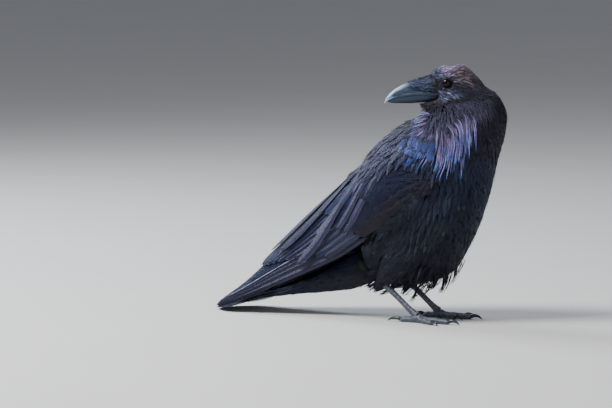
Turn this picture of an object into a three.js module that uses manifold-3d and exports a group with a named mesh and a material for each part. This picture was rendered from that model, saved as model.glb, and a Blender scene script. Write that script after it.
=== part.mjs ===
// Common raven (Corvus corax), life size, standing with its head turned back over its right shoulder.
// Millimetres, +Z up. The trunk faces +X, the bird's own left is +Y, and the floor is Z = 0.
// The coat's outer form is modelled: every solid reaches out to the tips of the feathers.
import * as THREE from "three";
import { mergeVertices } from "three/addons/utils/BufferGeometryUtils.js";
import Module from "manifold-3d";

const wasm = await Module();
wasm.setup();

// ---------------------------------------------------------------- driving dimensions
const GAP = 0.3; // clearance between touching pieces
const HALF_GAP = GAP / 2;
const ORIGIN_X = -100.4; // middle of the overall length, in the bird's own frame, whose X = 0 is over the feet
const NECK_X = 45; // upright axis that the neck twists about
const HEAD_HEADING = 28; // degrees; the head looks along the opposite of this heading
const EYE_ALONG = -16; // eye's place along the head's heading, from the neck axis
const EYE_HEIGHT = 310;
const EYE_SIDE = 13; // eyeball centre from the head's middle plane
const EYE_RADIUS = 8.4;
const LID_SIDE = 26; // centre of the round hollow between the lids, from the same plane
const LID_RADIUS = 8.6;
const STANCE = 32; // each foot's distance from the middle plane

// ---------------------------------------------------------------- how finely each form is faceted
const CORE_SIDES = 20;
const CORE_STEPS = 34;
const BILL_STEPS_PER_ROW = 1.25;
const BILL_ARCH_SIDES = 7;
const EYE_SIDES = 12;
const EYE_BANDS = 7;
const WING_COLUMNS = 10; // divisions across the wing
const ARM_STEPS = 9;
const SECONDARY_STEPS = 5;
const PRIMARY_STEPS = 8;
const TAIL_STEPS = 7;
const STEPS_PER_TIP = 3; // divisions across each tail feather's tip
const THIGH_SIDES = 14;
const LEG_SIDES = 8;
const PALM_SIDES = 10;
const CLAW_SIDES = 6;
const LEG_STEPS_PER_ROW = 2;

const rad = THREE.MathUtils.degToRad;

// ---------------------------------------------------------------- numbers along a row
// Smooth value of a table at t, where t = 0 is its first row and t = rows.length - 1 its last.
function between(rows, t) {
  const last = rows.length - 1;
  const i = Math.min(Math.floor(t), last - 1);
  const f = t - i;
  const pick = (k) => rows[Math.min(Math.max(k, 0), last)];
  const [a, b, c, d] = [pick(i - 1), pick(i), pick(i + 1), pick(i + 2)];
  return b.map((_, k) => {
    const slopeIn = (c[k] - a[k]) / 2;
    const slopeOut = (d[k] - b[k]) / 2;
    const rise = c[k] - b[k];
    return b[k] + f * (slopeIn + f * (3 * rise - 2 * slopeIn - slopeOut + f * (slopeIn + slopeOut - 2 * rise)));
  });
}

const bend = (value, power) => Math.sign(value) * Math.abs(value) ** power;
const arch = (t) => 1 - (2 * t - 1) ** 2; // 0 at t = 0 and 1, and 1 between them

// ---------------------------------------------------------------- closed meshes
function geometryOf(points, faces) {
  const geometry = new THREE.BufferGeometry();
  geometry.setAttribute("position", new THREE.Float32BufferAttribute(points.flatMap((p) => p.toArray()), 3));
  geometry.setIndex(faces);
  return geometry;
}

function manifoldOf(geometry) {
  const plain = geometry.clone();
  plain.deleteAttribute("normal");
  plain.deleteAttribute("uv");
  const merged = mergeVertices(plain, 1e-3);
  const made = new wasm.Manifold(
    new wasm.Mesh({
      numProp: 3,
      vertProperties: new Float32Array(merged.attributes.position.array),
      triVerts: new Uint32Array(merged.index.array),
    }),
  );
  return made.volume() < 0 ? flipped(merged) : made;
}

function flipped(geometry) {
  const turned = new Uint32Array(geometry.index.array);
  for (let i = 0; i < turned.length; i += 3) [turned[i + 1], turned[i + 2]] = [turned[i + 2], turned[i + 1]];
  return new wasm.Manifold(
    new wasm.Mesh({
      numProp: 3,
      vertProperties: new Float32Array(geometry.attributes.position.array),
      triVerts: turned,
    }),
  );
}

function geometryFrom(manifold) {
  const mesh = manifold.getMesh();
  const geometry = new THREE.BufferGeometry();
  geometry.setAttribute("position", new THREE.BufferAttribute(new Float32Array(mesh.vertProperties), 3));
  geometry.setIndex(new THREE.BufferAttribute(new Uint32Array(mesh.triVerts), 1));
  return geometry;
}

// A solid through rings that all have the same number of points, closed by a fan at each end.
function throughRings(rings) {
  const sides = rings[0].length;
  const points = rings.flat();
  const faces = [];
  rings.slice(1).forEach((_, r) => {
    for (let k = 0; k < sides; k++) {
      const next = (k + 1) % sides;
      const [a, b] = [r * sides + k, r * sides + next];
      faces.push(a, b, a + sides, b, b + sides, a + sides);
    }
  });
  [0, rings.length - 1].forEach((r) => {
    const middle = rings[r].reduce((sum, p) => sum.add(p), new THREE.Vector3()).divideScalar(sides);
    points.push(middle);
    for (let k = 0; k < sides; k++) {
      const [a, b] = [r * sides + k, r * sides + ((k + 1) % sides)];
      faces.push(...(r === 0 ? [b, a, points.length - 1] : [a, b, points.length - 1]));
    }
  });
  return manifoldOf(geometryOf(points, faces));
}

// A thin solid between an outer and an inner surface over the same square of (u, v).
function plate(stepsU, stepsV, outer, inner) {
  const points = [];
  const faces = [];
  const row = stepsV + 1;
  const count = (stepsU + 1) * row;
  for (const surface of [outer, inner])
    for (let i = 0; i <= stepsU; i++) for (let j = 0; j <= stepsV; j++) points.push(surface(i / stepsU, j / stepsV));
  const quad = (a, b, c, d) => faces.push(a, b, c, a, c, d);
  for (let i = 0; i < stepsU; i++)
    for (let j = 0; j < stepsV; j++) {
      const a = i * row + j;
      quad(a, a + row, a + row + 1, a + 1);
      quad(count + a, count + a + 1, count + a + row + 1, count + a + row);
    }
  for (let i = 0; i < stepsU; i++) {
    const [a, b] = [i * row, i * row + stepsV];
    quad(a, count + a, count + a + row, a + row);
    quad(b, b + row, count + b + row, count + b);
  }
  for (let j = 0; j < stepsV; j++) {
    const b = stepsU * row + j;
    quad(j, j + 1, count + j + 1, count + j);
    quad(b, count + b, count + b + 1, b + 1);
  }
  return manifoldOf(geometryOf(points, faces));
}

// ---------------------------------------------------------------- body core: trunk, neck and head
// Each row is one slice of the body, seen in profile: the back (later throat) edge and the breast (later
// nape) edge as [along, height], then half width, squareness and the heading of the slice in degrees.
// "along" is measured from the neck axis.
const TRUNK_ROWS = [
  [-134, 88, -124, 60, 12, 2.0, 0],
  [-138, 104, -105, 49, 28, 2.1, 0],
  [-142, 124, -77, 45, 40, 2.15, 0],
  [-144, 145, -45, 49, 47.5, 2.15, 0],
  [-143, 166, -12, 63, 53.5, 2.15, 0],
  [-139, 188, 10, 94, 58, 2.15, 0],
  [-130, 208, 27, 130, 60.5, 2.15, 0],
  [-115, 226, 39, 167, 60.5, 2.2, 0],
  [-96, 242, 47, 200, 58, 2.2, 0],
  [-75, 256, 54, 226, 56, 2.2, 0],
];
const NECK_ROWS = [
  [-57, 264, 59, 245, 54, 2.2, 2],
  [-52, 268, 62, 260, 51, 2.2, 7],
  [-48, 271, 61, 273, 47, 2.2, 12],
  [-46, 273.5, 56, 285, 43, 2.2, 17],
  [-45.5, 275.5, 47, 296, 38, 2.2, 22],
];
const HEAD_ROWS = [
  [-46.5, 277.5, 34, 304, 31, 2.2, 26],
  [-47.5, 279, 29, 311, 27, 2.2, 28],
  [-48.5, 280, 19, 322, 24, 2.2, 28],
  [-49.5, 281, 5, 333, 21, 2.2, 28],
  [-50.5, 281.5, -9, 331, 19, 2.2, 28],
  [-52, 282, -21, 331.5, 17.4, 2.2, 28],
  [-53.5, 282.3, -31, 327.5, 15.6, 2.2, 28],
  [-55.5, 282.8, -39, 321, 13.4, 2.2, 28],
  [-58, 283.6, -45, 316.5, 11, 2.2, 28],
];
const CORE_ROWS = [...TRUNK_ROWS, ...NECK_ROWS, ...HEAD_ROWS];

// Place of a point given by its distance along a heading from the neck axis, sideways from it, and height.
function fromNeckAxis(along, side, height, heading) {
  const [c, s] = [Math.cos(rad(heading)), Math.sin(rad(heading))];
  return new THREE.Vector3(NECK_X + along * c - side * s, along * s + side * c, height);
}

function coreRing(t, grow) {
  const [backAlong, backZ, frontAlong, frontZ, half, power, heading] = between(CORE_ROWS, t);
  const [midAlong, midZ] = [(backAlong + frontAlong) / 2, (backZ + frontZ) / 2];
  const reach = Math.hypot(frontAlong - backAlong, frontZ - backZ) / 2;
  const stretch = (reach + grow) / reach;
  return Array.from({ length: CORE_SIDES }, (_, k) => {
    const angle = (2 * Math.PI * k) / CORE_SIDES;
    const across = bend(Math.cos(angle), 2 / power) * stretch;
    const side = bend(Math.sin(angle), 2 / power) * (half + grow);
    return fromNeckAxis(
      midAlong + ((frontAlong - backAlong) / 2) * across,
      side,
      midZ + ((frontZ - backZ) / 2) * across,
      heading,
    );
  });
}

function coreSolid(grow = 0) {
  const rings = [];
  for (let i = 0; i <= CORE_STEPS; i++) rings.push(coreRing((i / CORE_STEPS) * (CORE_ROWS.length - 1), grow));
  return throughRings(rings);
}

// Plane of the slice at row t, as a normal that points along the body towards the bill, and its offset.
function slicePlane(t) {
  const [backAlong, backZ, frontAlong, frontZ, , , heading] = between(CORE_ROWS, t);
  const back = fromNeckAxis(backAlong, 0, backZ, heading);
  const across = fromNeckAxis(frontAlong, 0, frontZ, heading).sub(back);
  const side = fromNeckAxis(0, 1, 0, heading).sub(fromNeckAxis(0, 0, 0, heading));
  const normal = new THREE.Vector3().crossVectors(across, side).normalize();
  return { normal, offset: normal.dot(back) };
}

// ---------------------------------------------------------------- head: bill and eyes
// Head coordinates are x forward from the eye, y to the head's own left and z up from the eye.
function inHead(x, y, z) {
  return fromNeckAxis(EYE_ALONG - x, -y, EYE_HEIGHT + z, HEAD_HEADING);
}

// Rows: x, ridge z, cutting edge z, half width.
const UPPER_BILL_ROWS = [
  [8, 6, -17.6, 11.5],
  [20, 8.2, -16.4, 12.2],
  [32, 5.6, -15.9, 10.6],
  [44, 2.2, -16.2, 8.8],
  [55, -1.8, -17.6, 7.2],
  [65, -7.4, -19.6, 5.4],
  [72, -13, -21.6, 3.9],
  [77, -19, -24, 2.3],
  [80.2, -26, -27.4, 0.5],
];
const LOWER_BILL_ROWS = [
  [9, -21.5, -18, 10.4],
  [20, -23.8, -16.9, 11.2],
  [32, -25.4, -16.3, 9.9],
  [44, -26.4, -16.6, 8.2],
  [56, -26.6, -18.2, 6.6],
  [66, -26.5, -20.3, 4.8],
  [72, -25.9, -22.1, 3.3],
  [75.5, -25, -23.9, 0.8],
];
// The hood of bristles that lies over the root of the upper bill.
const HOOD_ROWS = [
  [7, 11, -13.5, 14.5],
  [17, 10.4, -12.5, 14.4],
  [27, 8.2, -10.5, 12.8],
  [37, 5.1, -8.4, 10.9],
  [50, 0.5, -5.5, 8.3],
];
// Line, as x and z in the head's middle plane, at which the face's feathers end behind the bill: from the
// forehead down past the gape and forwards to the chin.
const FACE_LINE = [
  [22, 14],
  [13, 0],
  [12, -12],
  [11, -18.5],
  [37, -27.8],
];
const BILL_ROOM = 30; // more than the reach of the face beyond that line

// Half-round slice that stands on its cutting edge, or hangs from it when ridge is below edge.
function billRing([x, ridge, edge, half], grow) {
  const ring = [];
  const lift = ridge > edge ? grow : -grow;
  for (let k = 0; k <= BILL_ARCH_SIDES; k++) {
    const angle = (Math.PI * k) / BILL_ARCH_SIDES;
    const side = bend(Math.cos(angle), 0.92) * (half + grow);
    ring.push(inHead(x, side, edge - lift + (ridge - edge + 2 * lift) * Math.sin(angle) ** 0.85));
  }
  return ring;
}

function bill(rows, grow = 0) {
  const steps = Math.round((rows.length - 1) * BILL_STEPS_PER_ROW);
  const rings = [];
  for (let i = 0; i <= steps; i++) rings.push(billRing(between(rows, (i / steps) * (rows.length - 1)), grow));
  return throughRings(rings);
}

// All that lies ahead of the face's line and above the chin.
function billNotch() {
  const [top, chin] = [FACE_LINE[0], FACE_LINE[FACE_LINE.length - 1]];
  const profile = [...FACE_LINE, [chin[0] + BILL_ROOM, chin[1]], [chin[0] + BILL_ROOM, top[1]]];
  return throughRings([-BILL_ROOM, BILL_ROOM].map((side) => profile.map(([x, z]) => inHead(x, side, z))));
}

function ball(side, distance, radius) {
  const centre = inHead(0, side * distance, 0);
  const sphere = new THREE.SphereGeometry(radius, EYE_SIDES, EYE_BANDS);
  return manifoldOf(sphere.translate(centre.x, centre.y, centre.z));
}

const eyeball = (side) => ball(side, EYE_SIDE, EYE_RADIUS);
const socket = (side) => ball(side, EYE_SIDE, EYE_RADIUS + GAP).add(ball(side, LID_SIDE, LID_RADIUS));

// ---------------------------------------------------------------- wings
// Stations from the shoulder to the tip, for the right wing mirrored to +Y: lower edge, upper edge, how far the
// wing bows out between them, and its thickness.
const WING_STATIONS = [
  [58, 45, 206, 36, 42, 232, 3, 8],
  [43, 56, 182, 0, 22, 249, 18, 13],
  [16, 60, 156, -40, 9, 235, 30, 14],
  [-15, 60, 130, -79, 1.5, 206, 32, 14],
  [-59, 56, 101, -120, 1, 171, 24, 12],
  [-120, 46, 72, -169, 1, 128, 14, 8],
  [-188, 37, 45, -218, 3, 83, 8, 5],
  [-250, 28, 22, -264, 9, 42, 3.5, 3],
  [-301, 24, 6, -303, 18, 11, 1, 2],
];
const WING_LENGTH = WING_STATIONS.length - 1;
const EDGE_THICKNESS = 1.4;
const SECONDARY_LIFT = 4; // height of the secondaries' outer surface over that of the primaries
const SECONDARY_THICKNESS = 3.4;
const STATION_GAP = 0.012; // about 0.5 mm, in stations

// Where each part of the wing ends, in stations, from its lower edge (t = 0) to its upper edge (t = 1).
const SECONDARY_EDGE = 0.2; // the secondaries leave the wing's lowest part uncovered
const armEnd = (t) => 3.5 + 0.8 * t;
const primaryStart = (t) => armEnd(t) + STATION_GAP;
const secondaryEnd = (t) => 5.35 + 1.15 * Math.sin(Math.PI * (t * 0.75 - 0.06));
const primaryEnd = (t) => WING_LENGTH - 0.9 * t ** 1.5;

// Point of the right wing (side -1) or left wing (side 1): s runs from the shoulder to the tip in stations and
// t from the lower to the upper edge. height is measured outwards from the outer surface.
function wingPoint(side, s, t, height) {
  const [lx, ly, lz, ux, uy, uz, bow] = between(WING_STATIONS, s);
  const ahead = between(WING_STATIONS, Math.min(s + 0.05, WING_LENGTH));
  const behind = between(WING_STATIONS, Math.max(s - 0.05, 0));
  const chord = new THREE.Vector3(ux - lx, uy - ly, uz - lz);
  const run = new THREE.Vector3(ahead[0] - behind[0], ahead[1] - behind[1], ahead[2] - behind[2]);
  const out = new THREE.Vector3().crossVectors(run, chord).normalize();
  const point = new THREE.Vector3(lx, ly, lz).addScaledVector(chord, t);
  point.addScaledVector(out, bow * arch(t) + height);
  point.y *= side;
  return point;
}

function wingWall(s, t) {
  const thick = between(WING_STATIONS, s)[7];
  return EDGE_THICKNESS + (thick - EDGE_THICKNESS) * arch(t) ** 0.7;
}

// Part of a wing between two lines of stations. outer and inner give its faces' heights at (s, t).
function wingPatch(side, start, end, steps, outer, inner, from = 0) {
  const face = (height) => (u, v) => {
    const t = from + (1 - from) * v;
    const s = start(t) + (end(t) - start(t)) * u;
    return wingPoint(side, s, t, height(s, t));
  };
  return plate(steps, Math.round(WING_COLUMNS * (1 - from)), face(outer), face(inner));
}

// ---------------------------------------------------------------- tail
// Along the tail's middle line, coverts included: x, top z, half width, how far its sides droop, thickness.
const TAIL_ROWS = [
  [-66, 110, 24, 11, 58],
  [-108, 84, 29, 11, 46],
  [-150, 61, 32, 9, 30],
  [-192, 42, 35, 8, 16],
  [-234, 26, 38.5, 6, 7],
  [-272, 12.5, 42, 3.5, 3.2],
  [-308, 2.2, 45, 0.6, 3.2],
];
const TAIL_LENGTH = TAIL_ROWS[0][0] - TAIL_ROWS[TAIL_ROWS.length - 1][0];
const TAIL_TIPS = 6; // feather tips that show side by side
const TAIL_WEDGE = 36; // how much shorter the outermost feather is than the middle pair

function tailPoint(u, v, under) {
  const across = 2 * v - 1;
  const tipNotch = 0.025 * (1 - Math.abs(Math.sin(Math.PI * TAIL_TIPS * v)) ** 0.6);
  const reach = 1 - (TAIL_WEDGE / TAIL_LENGTH) * Math.abs(across) ** 1.7 - tipNotch;
  const [x, top, half, droop, thick] = between(TAIL_ROWS, u * reach * (TAIL_ROWS.length - 1));
  const edge = 1 - Math.abs(across) ** 3;
  const wall = Math.min(thick, 1.6) + Math.max(thick - 1.6, 0) * edge;
  const z = top - droop * across ** 2 - (under ? wall : 0);
  return new THREE.Vector3(x, half * across, Math.max(z, 0));
}

// ---------------------------------------------------------------- legs
// A round-sided tube through [x, y, z, radius] rows; nothing reaches below the floor.
function limb(rows, sides, stepsPerRow, radiusAt = () => 1) {
  const steps = (rows.length - 1) * stepsPerRow;
  const at = (t) => between(rows, t);
  const rings = [];
  for (let i = 0; i <= steps; i++) {
    const t = i / stepsPerRow;
    const [x, y, z, radius] = at(t);
    const ahead = at(Math.min(t + 0.02, rows.length - 1));
    const behind = at(Math.max(t - 0.02, 0));
    const run = new THREE.Vector3(ahead[0] - behind[0], ahead[1] - behind[1], ahead[2] - behind[2]);
    const across = new THREE.Vector3(0, 0, 1).cross(run).normalize();
    const up = new THREE.Vector3().crossVectors(run, across).normalize();
    const size = radius * radiusAt(i / steps);
    rings.push(
      Array.from({ length: sides }, (_, k) => {
        const angle = (2 * Math.PI * k) / sides;
        const point = new THREE.Vector3(x, y, z)
          .addScaledVector(across, Math.cos(angle) * size)
          .addScaledVector(up, Math.sin(angle) * size);
        point.z = Math.max(point.z, 0);
        return point;
      }),
    );
  }
  return throughRings(rings);
}

const ANKLE = [-51, 52]; // x and z
const TOE_JOINT = [1, 9];
const thighRows = (y) => [
  [6, y * 0.86, 118, 24],
  [-12, y * 0.95, 92, 28],
  [-30, y, 71, 21.5],
  [-44, y, 57, 12.5],
  [-51.5, y, 47.5, 7],
];
const shankRows = (y, grow = 0) => [
  [ANKLE[0] - 1, y, ANKLE[1] + 1, 5 + grow],
  [ANKLE[0] + 8, y, ANKLE[1] - 7, 4.2 + grow],
  [ANKLE[0] + 24, y, ANKLE[1] - 20, 3.7 + grow],
  [ANKLE[0] + 42, y, ANKLE[1] - 35.5, 3.9 + grow],
  [TOE_JOINT[0], y, TOE_JOINT[1], 5 + grow],
];
const palmRows = (y, grow = 0) => [
  [-5.5 - grow, y, 5.2, 4 + grow],
  [-1, y, 5.2, 5.6 + grow],
  [5, y, 4.9, 6 + grow],
  [10 + grow, y, 4.4, 4.6 + grow],
];

// Heading from straight ahead towards the outer side, length, root radius, number of pads, claw length.
const TOES = [
  { name: "inner", heading: -24, length: 31, radius: 4.1, pads: 2, claw: 16 },
  { name: "middle", heading: 2, length: 45, radius: 4.3, pads: 3, claw: 17 },
  { name: "outer", heading: 31, length: 34, radius: 3.9, pads: 3, claw: 14 },
  { name: "hind", heading: 176, length: 23, radius: 4.2, pads: 2, claw: 20 },
];
const PRESS = 0.5; // how far each pad is flattened against the floor

function toe(side, { heading, length, radius, pads }, grow = 0) {
  const [c, s] = [Math.cos(rad(heading)), Math.sin(rad(heading)) * side];
  const at = (share, r) => [2 + c * length * share, side * STANCE + s * length * share, r - PRESS, r + grow];
  const rows = [at(0.06, radius), at(0.35, radius), at(0.7, radius * 0.9), at(1, radius * 0.72)];
  return limb(rows, LEG_SIDES, pads, (t) => 1 - 0.1 * Math.cos(2 * Math.PI * pads * t));
}

function claw(side, { heading, length, radius, claw: reach }) {
  const [c, s] = [Math.cos(rad(heading)), Math.sin(rad(heading)) * side];
  const at = (out, z, r) => [2 + c * (length + out), side * STANCE + s * (length + out), z, r];
  const rows = [
    at(1.2, radius * 0.95, radius * 0.6),
    at(reach * 0.28, radius * 1.2, radius * 0.56),
    at(reach * 0.6, radius * 1.05, radius * 0.42),
    at(reach * 0.86, radius * 0.5, radius * 0.22),
    at(reach * 0.95, 0.5, 0.4),
  ];
  return limb(rows, CLAW_SIDES, 1);
}

// ---------------------------------------------------------------- assembly
const FEATHER = { color: 0x16161d, roughness: 0.45, metalness: 0 };
const COAT = new THREE.MeshStandardMaterial({ ...FEATHER, name: "plumage" });
const FLIGHT = new THREE.MeshStandardMaterial({ ...FEATHER, color: 0x1c2030, roughness: 0.35, name: "flight" });
const HORN = new THREE.MeshStandardMaterial({ color: 0x2c323b, roughness: 0.35, name: "horn" });
const SCALE = new THREE.MeshStandardMaterial({ color: 0x33363c, roughness: 0.5, name: "scale" });
const EYE = new THREE.MeshStandardMaterial({ color: 0x140d0a, roughness: 0.05, name: "eye" });

const raven = new THREE.Group();
raven.position.x = -ORIGIN_X;

function add(name, manifold, material) {
  const mesh = new THREE.Mesh(geometryFrom(manifold), material);
  mesh.name = name;
  raven.add(mesh);
}

// What is left of a solid outside the others, without crumbs.
function outside(solid, ...others) {
  const left = others.reduce((rest, other) => rest.subtract(other), solid);
  return left.decompose().reduce((best, piece) => (piece.volume() > best.volume() ? piece : best));
}

const whole = coreSolid();
const wholeGrown = coreSolid(GAP);
const neckCut = slicePlane(TRUNK_ROWS.length - 0.5);
const headCut = slicePlane(TRUNK_ROWS.length + NECK_ROWS.length);

// The part of a solid on the bill's side of a cut, or on the tail's side.
const ahead = (solid, cut) => solid.trimByPlane(cut.normal.toArray(), cut.offset + HALF_GAP);
const behind = (solid, cut) => solid.trimByPlane(cut.normal.clone().negate().toArray(), HALF_GAP - cut.offset);

const upperBillGrown = bill(UPPER_BILL_ROWS, GAP);
const lowerBillGrown = bill(LOWER_BILL_ROWS, GAP);
const face = ahead(whole, headCut).subtract(billNotch()).add(bill(HOOD_ROWS));

add("trunk", behind(whole, neckCut), COAT);
add("neck", behind(ahead(whole, neckCut), headCut), COAT);
add("head", outside(face, upperBillGrown, lowerBillGrown, socket(-1), socket(1)), COAT);
add("bill_upper", bill(UPPER_BILL_ROWS), HORN);
add("bill_lower", outside(bill(LOWER_BILL_ROWS), upperBillGrown), HORN);

const tail = plate(
  TAIL_STEPS,
  TAIL_TIPS * STEPS_PER_TIP,
  (u, v) => tailPoint(u, v, false),
  (u, v) => tailPoint(u, v, true),
);
add("tail", outside(tail, wholeGrown), FLIGHT);

for (const [word, side] of [["right", -1], ["left", 1]]) {
  add(`eye_${word}`, eyeball(side), EYE);

  const covered = () => SECONDARY_LIFT;
  const arm = wingPatch(side, () => 0, armEnd, ARM_STEPS, covered, (s, t) => -wingWall(s, t));
  const secondaries = wingPatch(
    side,
    primaryStart,
    secondaryEnd,
    SECONDARY_STEPS,
    covered,
    () => SECONDARY_LIFT - SECONDARY_THICKNESS,
    SECONDARY_EDGE,
  );
  const level = () => 0;
  const primaries = wingPatch(side, primaryStart, primaryEnd, PRIMARY_STEPS, level, (s, t) => -wingWall(s, t));
  const ownSide = (solid) => solid.trimByPlane([0, side, 0], GAP);
  add(`wing_${word}`, outside(ownSide(arm), wholeGrown), COAT);
  add(`secondaries_${word}`, outside(ownSide(secondaries), wholeGrown), FLIGHT);
  add(`primaries_${word}`, outside(ownSide(primaries), wholeGrown), FLIGHT);

  const y = side * STANCE;
  const shank = limb(shankRows(y), LEG_SIDES, LEG_STEPS_PER_ROW);
  const shankGrown = limb(shankRows(y, GAP), LEG_SIDES, LEG_STEPS_PER_ROW);
  const palm = limb(palmRows(y), PALM_SIDES, LEG_STEPS_PER_ROW);
  const palmGrown = limb(palmRows(y, GAP), PALM_SIDES, LEG_STEPS_PER_ROW);
  const thigh = limb(thighRows(y), THIGH_SIDES, LEG_STEPS_PER_ROW);
  add(`thigh_${word}`, outside(thigh, wholeGrown, shankGrown), COAT);
  add(`shank_${word}`, outside(shank, palmGrown), SCALE);
  add(`foot_${word}`, palm, SCALE);
  const clear = [palmGrown, shankGrown];
  for (const digit of TOES) {
    add(`toe_${word}_${digit.name}`, outside(toe(side, digit), ...clear), SCALE);
    add(`claw_${word}_${digit.name}`, claw(side, digit), HORN);
    clear.push(toe(side, digit, GAP));
  }
}

export default raven;
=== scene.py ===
"""Common raven, life size: skin, feathers, bill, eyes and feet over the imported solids, on a pale floor."""

import math

import bpy
import numpy as np
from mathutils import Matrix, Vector
from mathutils.bvhtree import BVHTree
from mathutils.kdtree import KDTree


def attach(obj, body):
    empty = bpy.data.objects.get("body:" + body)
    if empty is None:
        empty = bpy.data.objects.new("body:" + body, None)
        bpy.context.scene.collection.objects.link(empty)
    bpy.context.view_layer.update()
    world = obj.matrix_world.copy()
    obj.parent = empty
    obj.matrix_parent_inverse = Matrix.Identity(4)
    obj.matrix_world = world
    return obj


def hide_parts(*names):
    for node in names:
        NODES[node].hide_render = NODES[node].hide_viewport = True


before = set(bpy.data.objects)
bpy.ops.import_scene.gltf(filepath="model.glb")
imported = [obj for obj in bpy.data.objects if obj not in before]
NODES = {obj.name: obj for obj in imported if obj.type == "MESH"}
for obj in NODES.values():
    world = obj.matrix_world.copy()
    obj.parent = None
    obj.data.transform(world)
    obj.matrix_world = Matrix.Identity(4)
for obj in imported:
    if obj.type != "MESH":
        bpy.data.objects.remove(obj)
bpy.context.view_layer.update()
rng = np.random.default_rng(11)

# ---------------------------------------------------------------- the bird's own frame
# Tables and lengths are in millimetres, with +X the way the trunk faces and X = 0 over the feet, as in the
# solids' source. Only to_row() and from_row() change between them and the row's metres.
MM = 0.001
TURN = 2 * math.pi
ORIGIN_X = -100.4
SIDES = {"right": -1, "left": 1}
NECK_X = 45
HEAD_HEADING = 28
EYE_ALONG, EYE_HEIGHT, EYE_SIDE, EYE_RADIUS = -16, 310, 13, 8.4
STANCE = 32

# Slices of the body from the vent to the bill: the back (later throat) edge and the breast (later nape) edge
# as along, z, then half width, squareness and heading.
CORE_ROWS = [
    [-134, 88, -124, 60, 12, 2.0, 0],
    [-138, 104, -105, 49, 28, 2.1, 0],
    [-142, 124, -77, 45, 40, 2.15, 0],
    [-144, 145, -45, 49, 47.5, 2.15, 0],
    [-143, 166, -12, 63, 53.5, 2.15, 0],
    [-139, 188, 10, 94, 58, 2.15, 0],
    [-130, 208, 27, 130, 60.5, 2.15, 0],
    [-115, 226, 39, 167, 60.5, 2.2, 0],
    [-96, 242, 47, 200, 58, 2.2, 0],
    [-75, 256, 54, 226, 56, 2.2, 0],
    [-57, 264, 59, 245, 54, 2.2, 2],
    [-52, 268, 62, 260, 51, 2.2, 7],
    [-48, 271, 61, 273, 47, 2.2, 12],
    [-46, 273.5, 56, 285, 43, 2.2, 17],
    [-45.5, 275.5, 47, 296, 38, 2.2, 22],
    [-46.5, 277.5, 34, 304, 31, 2.2, 26],
    [-47.5, 279, 29, 311, 27, 2.2, 28],
    [-48.5, 280, 19, 322, 24, 2.2, 28],
    [-49.5, 281, 5, 333, 21, 2.2, 28],
    [-50.5, 281.5, -9, 331, 19, 2.2, 28],
    [-52, 282, -21, 331.5, 17.4, 2.2, 28],
    [-53.5, 282.3, -31, 327.5, 15.6, 2.2, 28],
    [-55.5, 282.8, -39, 321, 13.4, 2.2, 28],
    [-58, 283.6, -45, 316.5, 11, 2.2, 28],
]
HEAD_ROW = 15  # where the head's feathers end over the neck
BILL_ROW = len(CORE_ROWS) - 1

# Wing stations: lower edge, upper edge, bow and wall, on the left wing.
WING_STATIONS = [
    [58, 45, 206, 36, 42, 232, 3, 8],
    [43, 56, 182, 0, 22, 249, 18, 13],
    [16, 60, 156, -40, 9, 235, 30, 14],
    [-15, 60, 130, -79, 1.5, 206, 32, 14],
    [-59, 56, 101, -120, 1, 171, 24, 12],
    [-120, 46, 72, -169, 1, 128, 14, 8],
    [-188, 37, 45, -218, 3, 83, 8, 5],
    [-250, 28, 22, -264, 9, 42, 3.5, 3],
    [-301, 24, 6, -303, 18, 11, 1, 2],
]

# Along the tail with its coverts: x, top z, half width, droop of the sides, thickness.
TAIL_ROWS = [
    [-66, 110, 24, 11, 58],
    [-108, 84, 29, 11, 46],
    [-150, 61, 32, 9, 30],
    [-192, 42, 35, 8, 16],
    [-234, 26, 38.5, 6, 7],
    [-272, 12.5, 42, 3.5, 3.2],
    [-308, 2.2, 45, 0.6, 3.2],
]
TAIL_LENGTH = TAIL_ROWS[0][0] - TAIL_ROWS[-1][0]
TAIL_WEDGE = 36

# Along the lower back, between the folded wings: x, top z, half width, thickness.
BACK_ROWS = [
    [-70, 198, 9, 30],
    [-118, 158, 13, 44],
    [-150, 131, 15, 50],
    [-180, 102, 16, 48],
    [-208, 73, 16, 34],
    [-232, 42, 13, 18],
]

# Leg rows for the left leg: x, y as a share of the stance, z, radius.
THIGH_ROWS = [
    [6, 0.86, 118, 24],
    [-12, 0.95, 92, 28],
    [-30, 1, 71, 21.5],
    [-44, 1, 57, 12.5],
    [-51.5, 1, 47.5, 7],
]
SHANK_ROWS = [
    [-52, 1, 53, 5],
    [-43, 1, 45, 4.2],
    [-27, 1, 32, 3.7],
    [-9, 1, 16.5, 3.9],
    [1, 1, 9, 5],
]
PALM_ROWS = [[-5.5, 1, 5.2, 4], [-1, 1, 5.2, 5.6], [5, 1, 4.9, 6], [10, 1, 4.4, 4.6]]
TOES = {  # heading, length, root radius, pads, claw length
    "inner": (-24, 31, 4.1, 2, 16),
    "middle": (2, 45, 4.3, 3, 17),
    "outer": (31, 34, 3.9, 3, 14),
    "hind": (176, 23, 4.2, 2, 20),
}

# Bill rows in head coordinates: x, ridge z, cutting edge z, half width.
UPPER_BILL_ROWS = [
    [8, 6, -17.6, 11.5],
    [20, 8.2, -16.4, 12.2],
    [32, 5.6, -15.9, 10.6],
    [44, 2.2, -16.2, 8.8],
    [55, -1.8, -17.6, 7.2],
    [65, -7.4, -19.6, 5.4],
    [72, -13, -21.6, 3.9],
    [77, -19, -24, 2.3],
    [80.2, -26, -27.4, 0.5],
]
LOWER_BILL_ROWS = [
    [9, -21.5, -18, 10.4],
    [20, -23.8, -16.9, 11.2],
    [32, -25.4, -16.3, 9.9],
    [44, -26.4, -16.6, 8.2],
    [56, -26.6, -18.2, 6.6],
    [66, -26.5, -20.3, 4.8],
    [72, -25.9, -22.1, 3.3],
    [75.5, -25, -23.9, 0.8],
]
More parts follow.
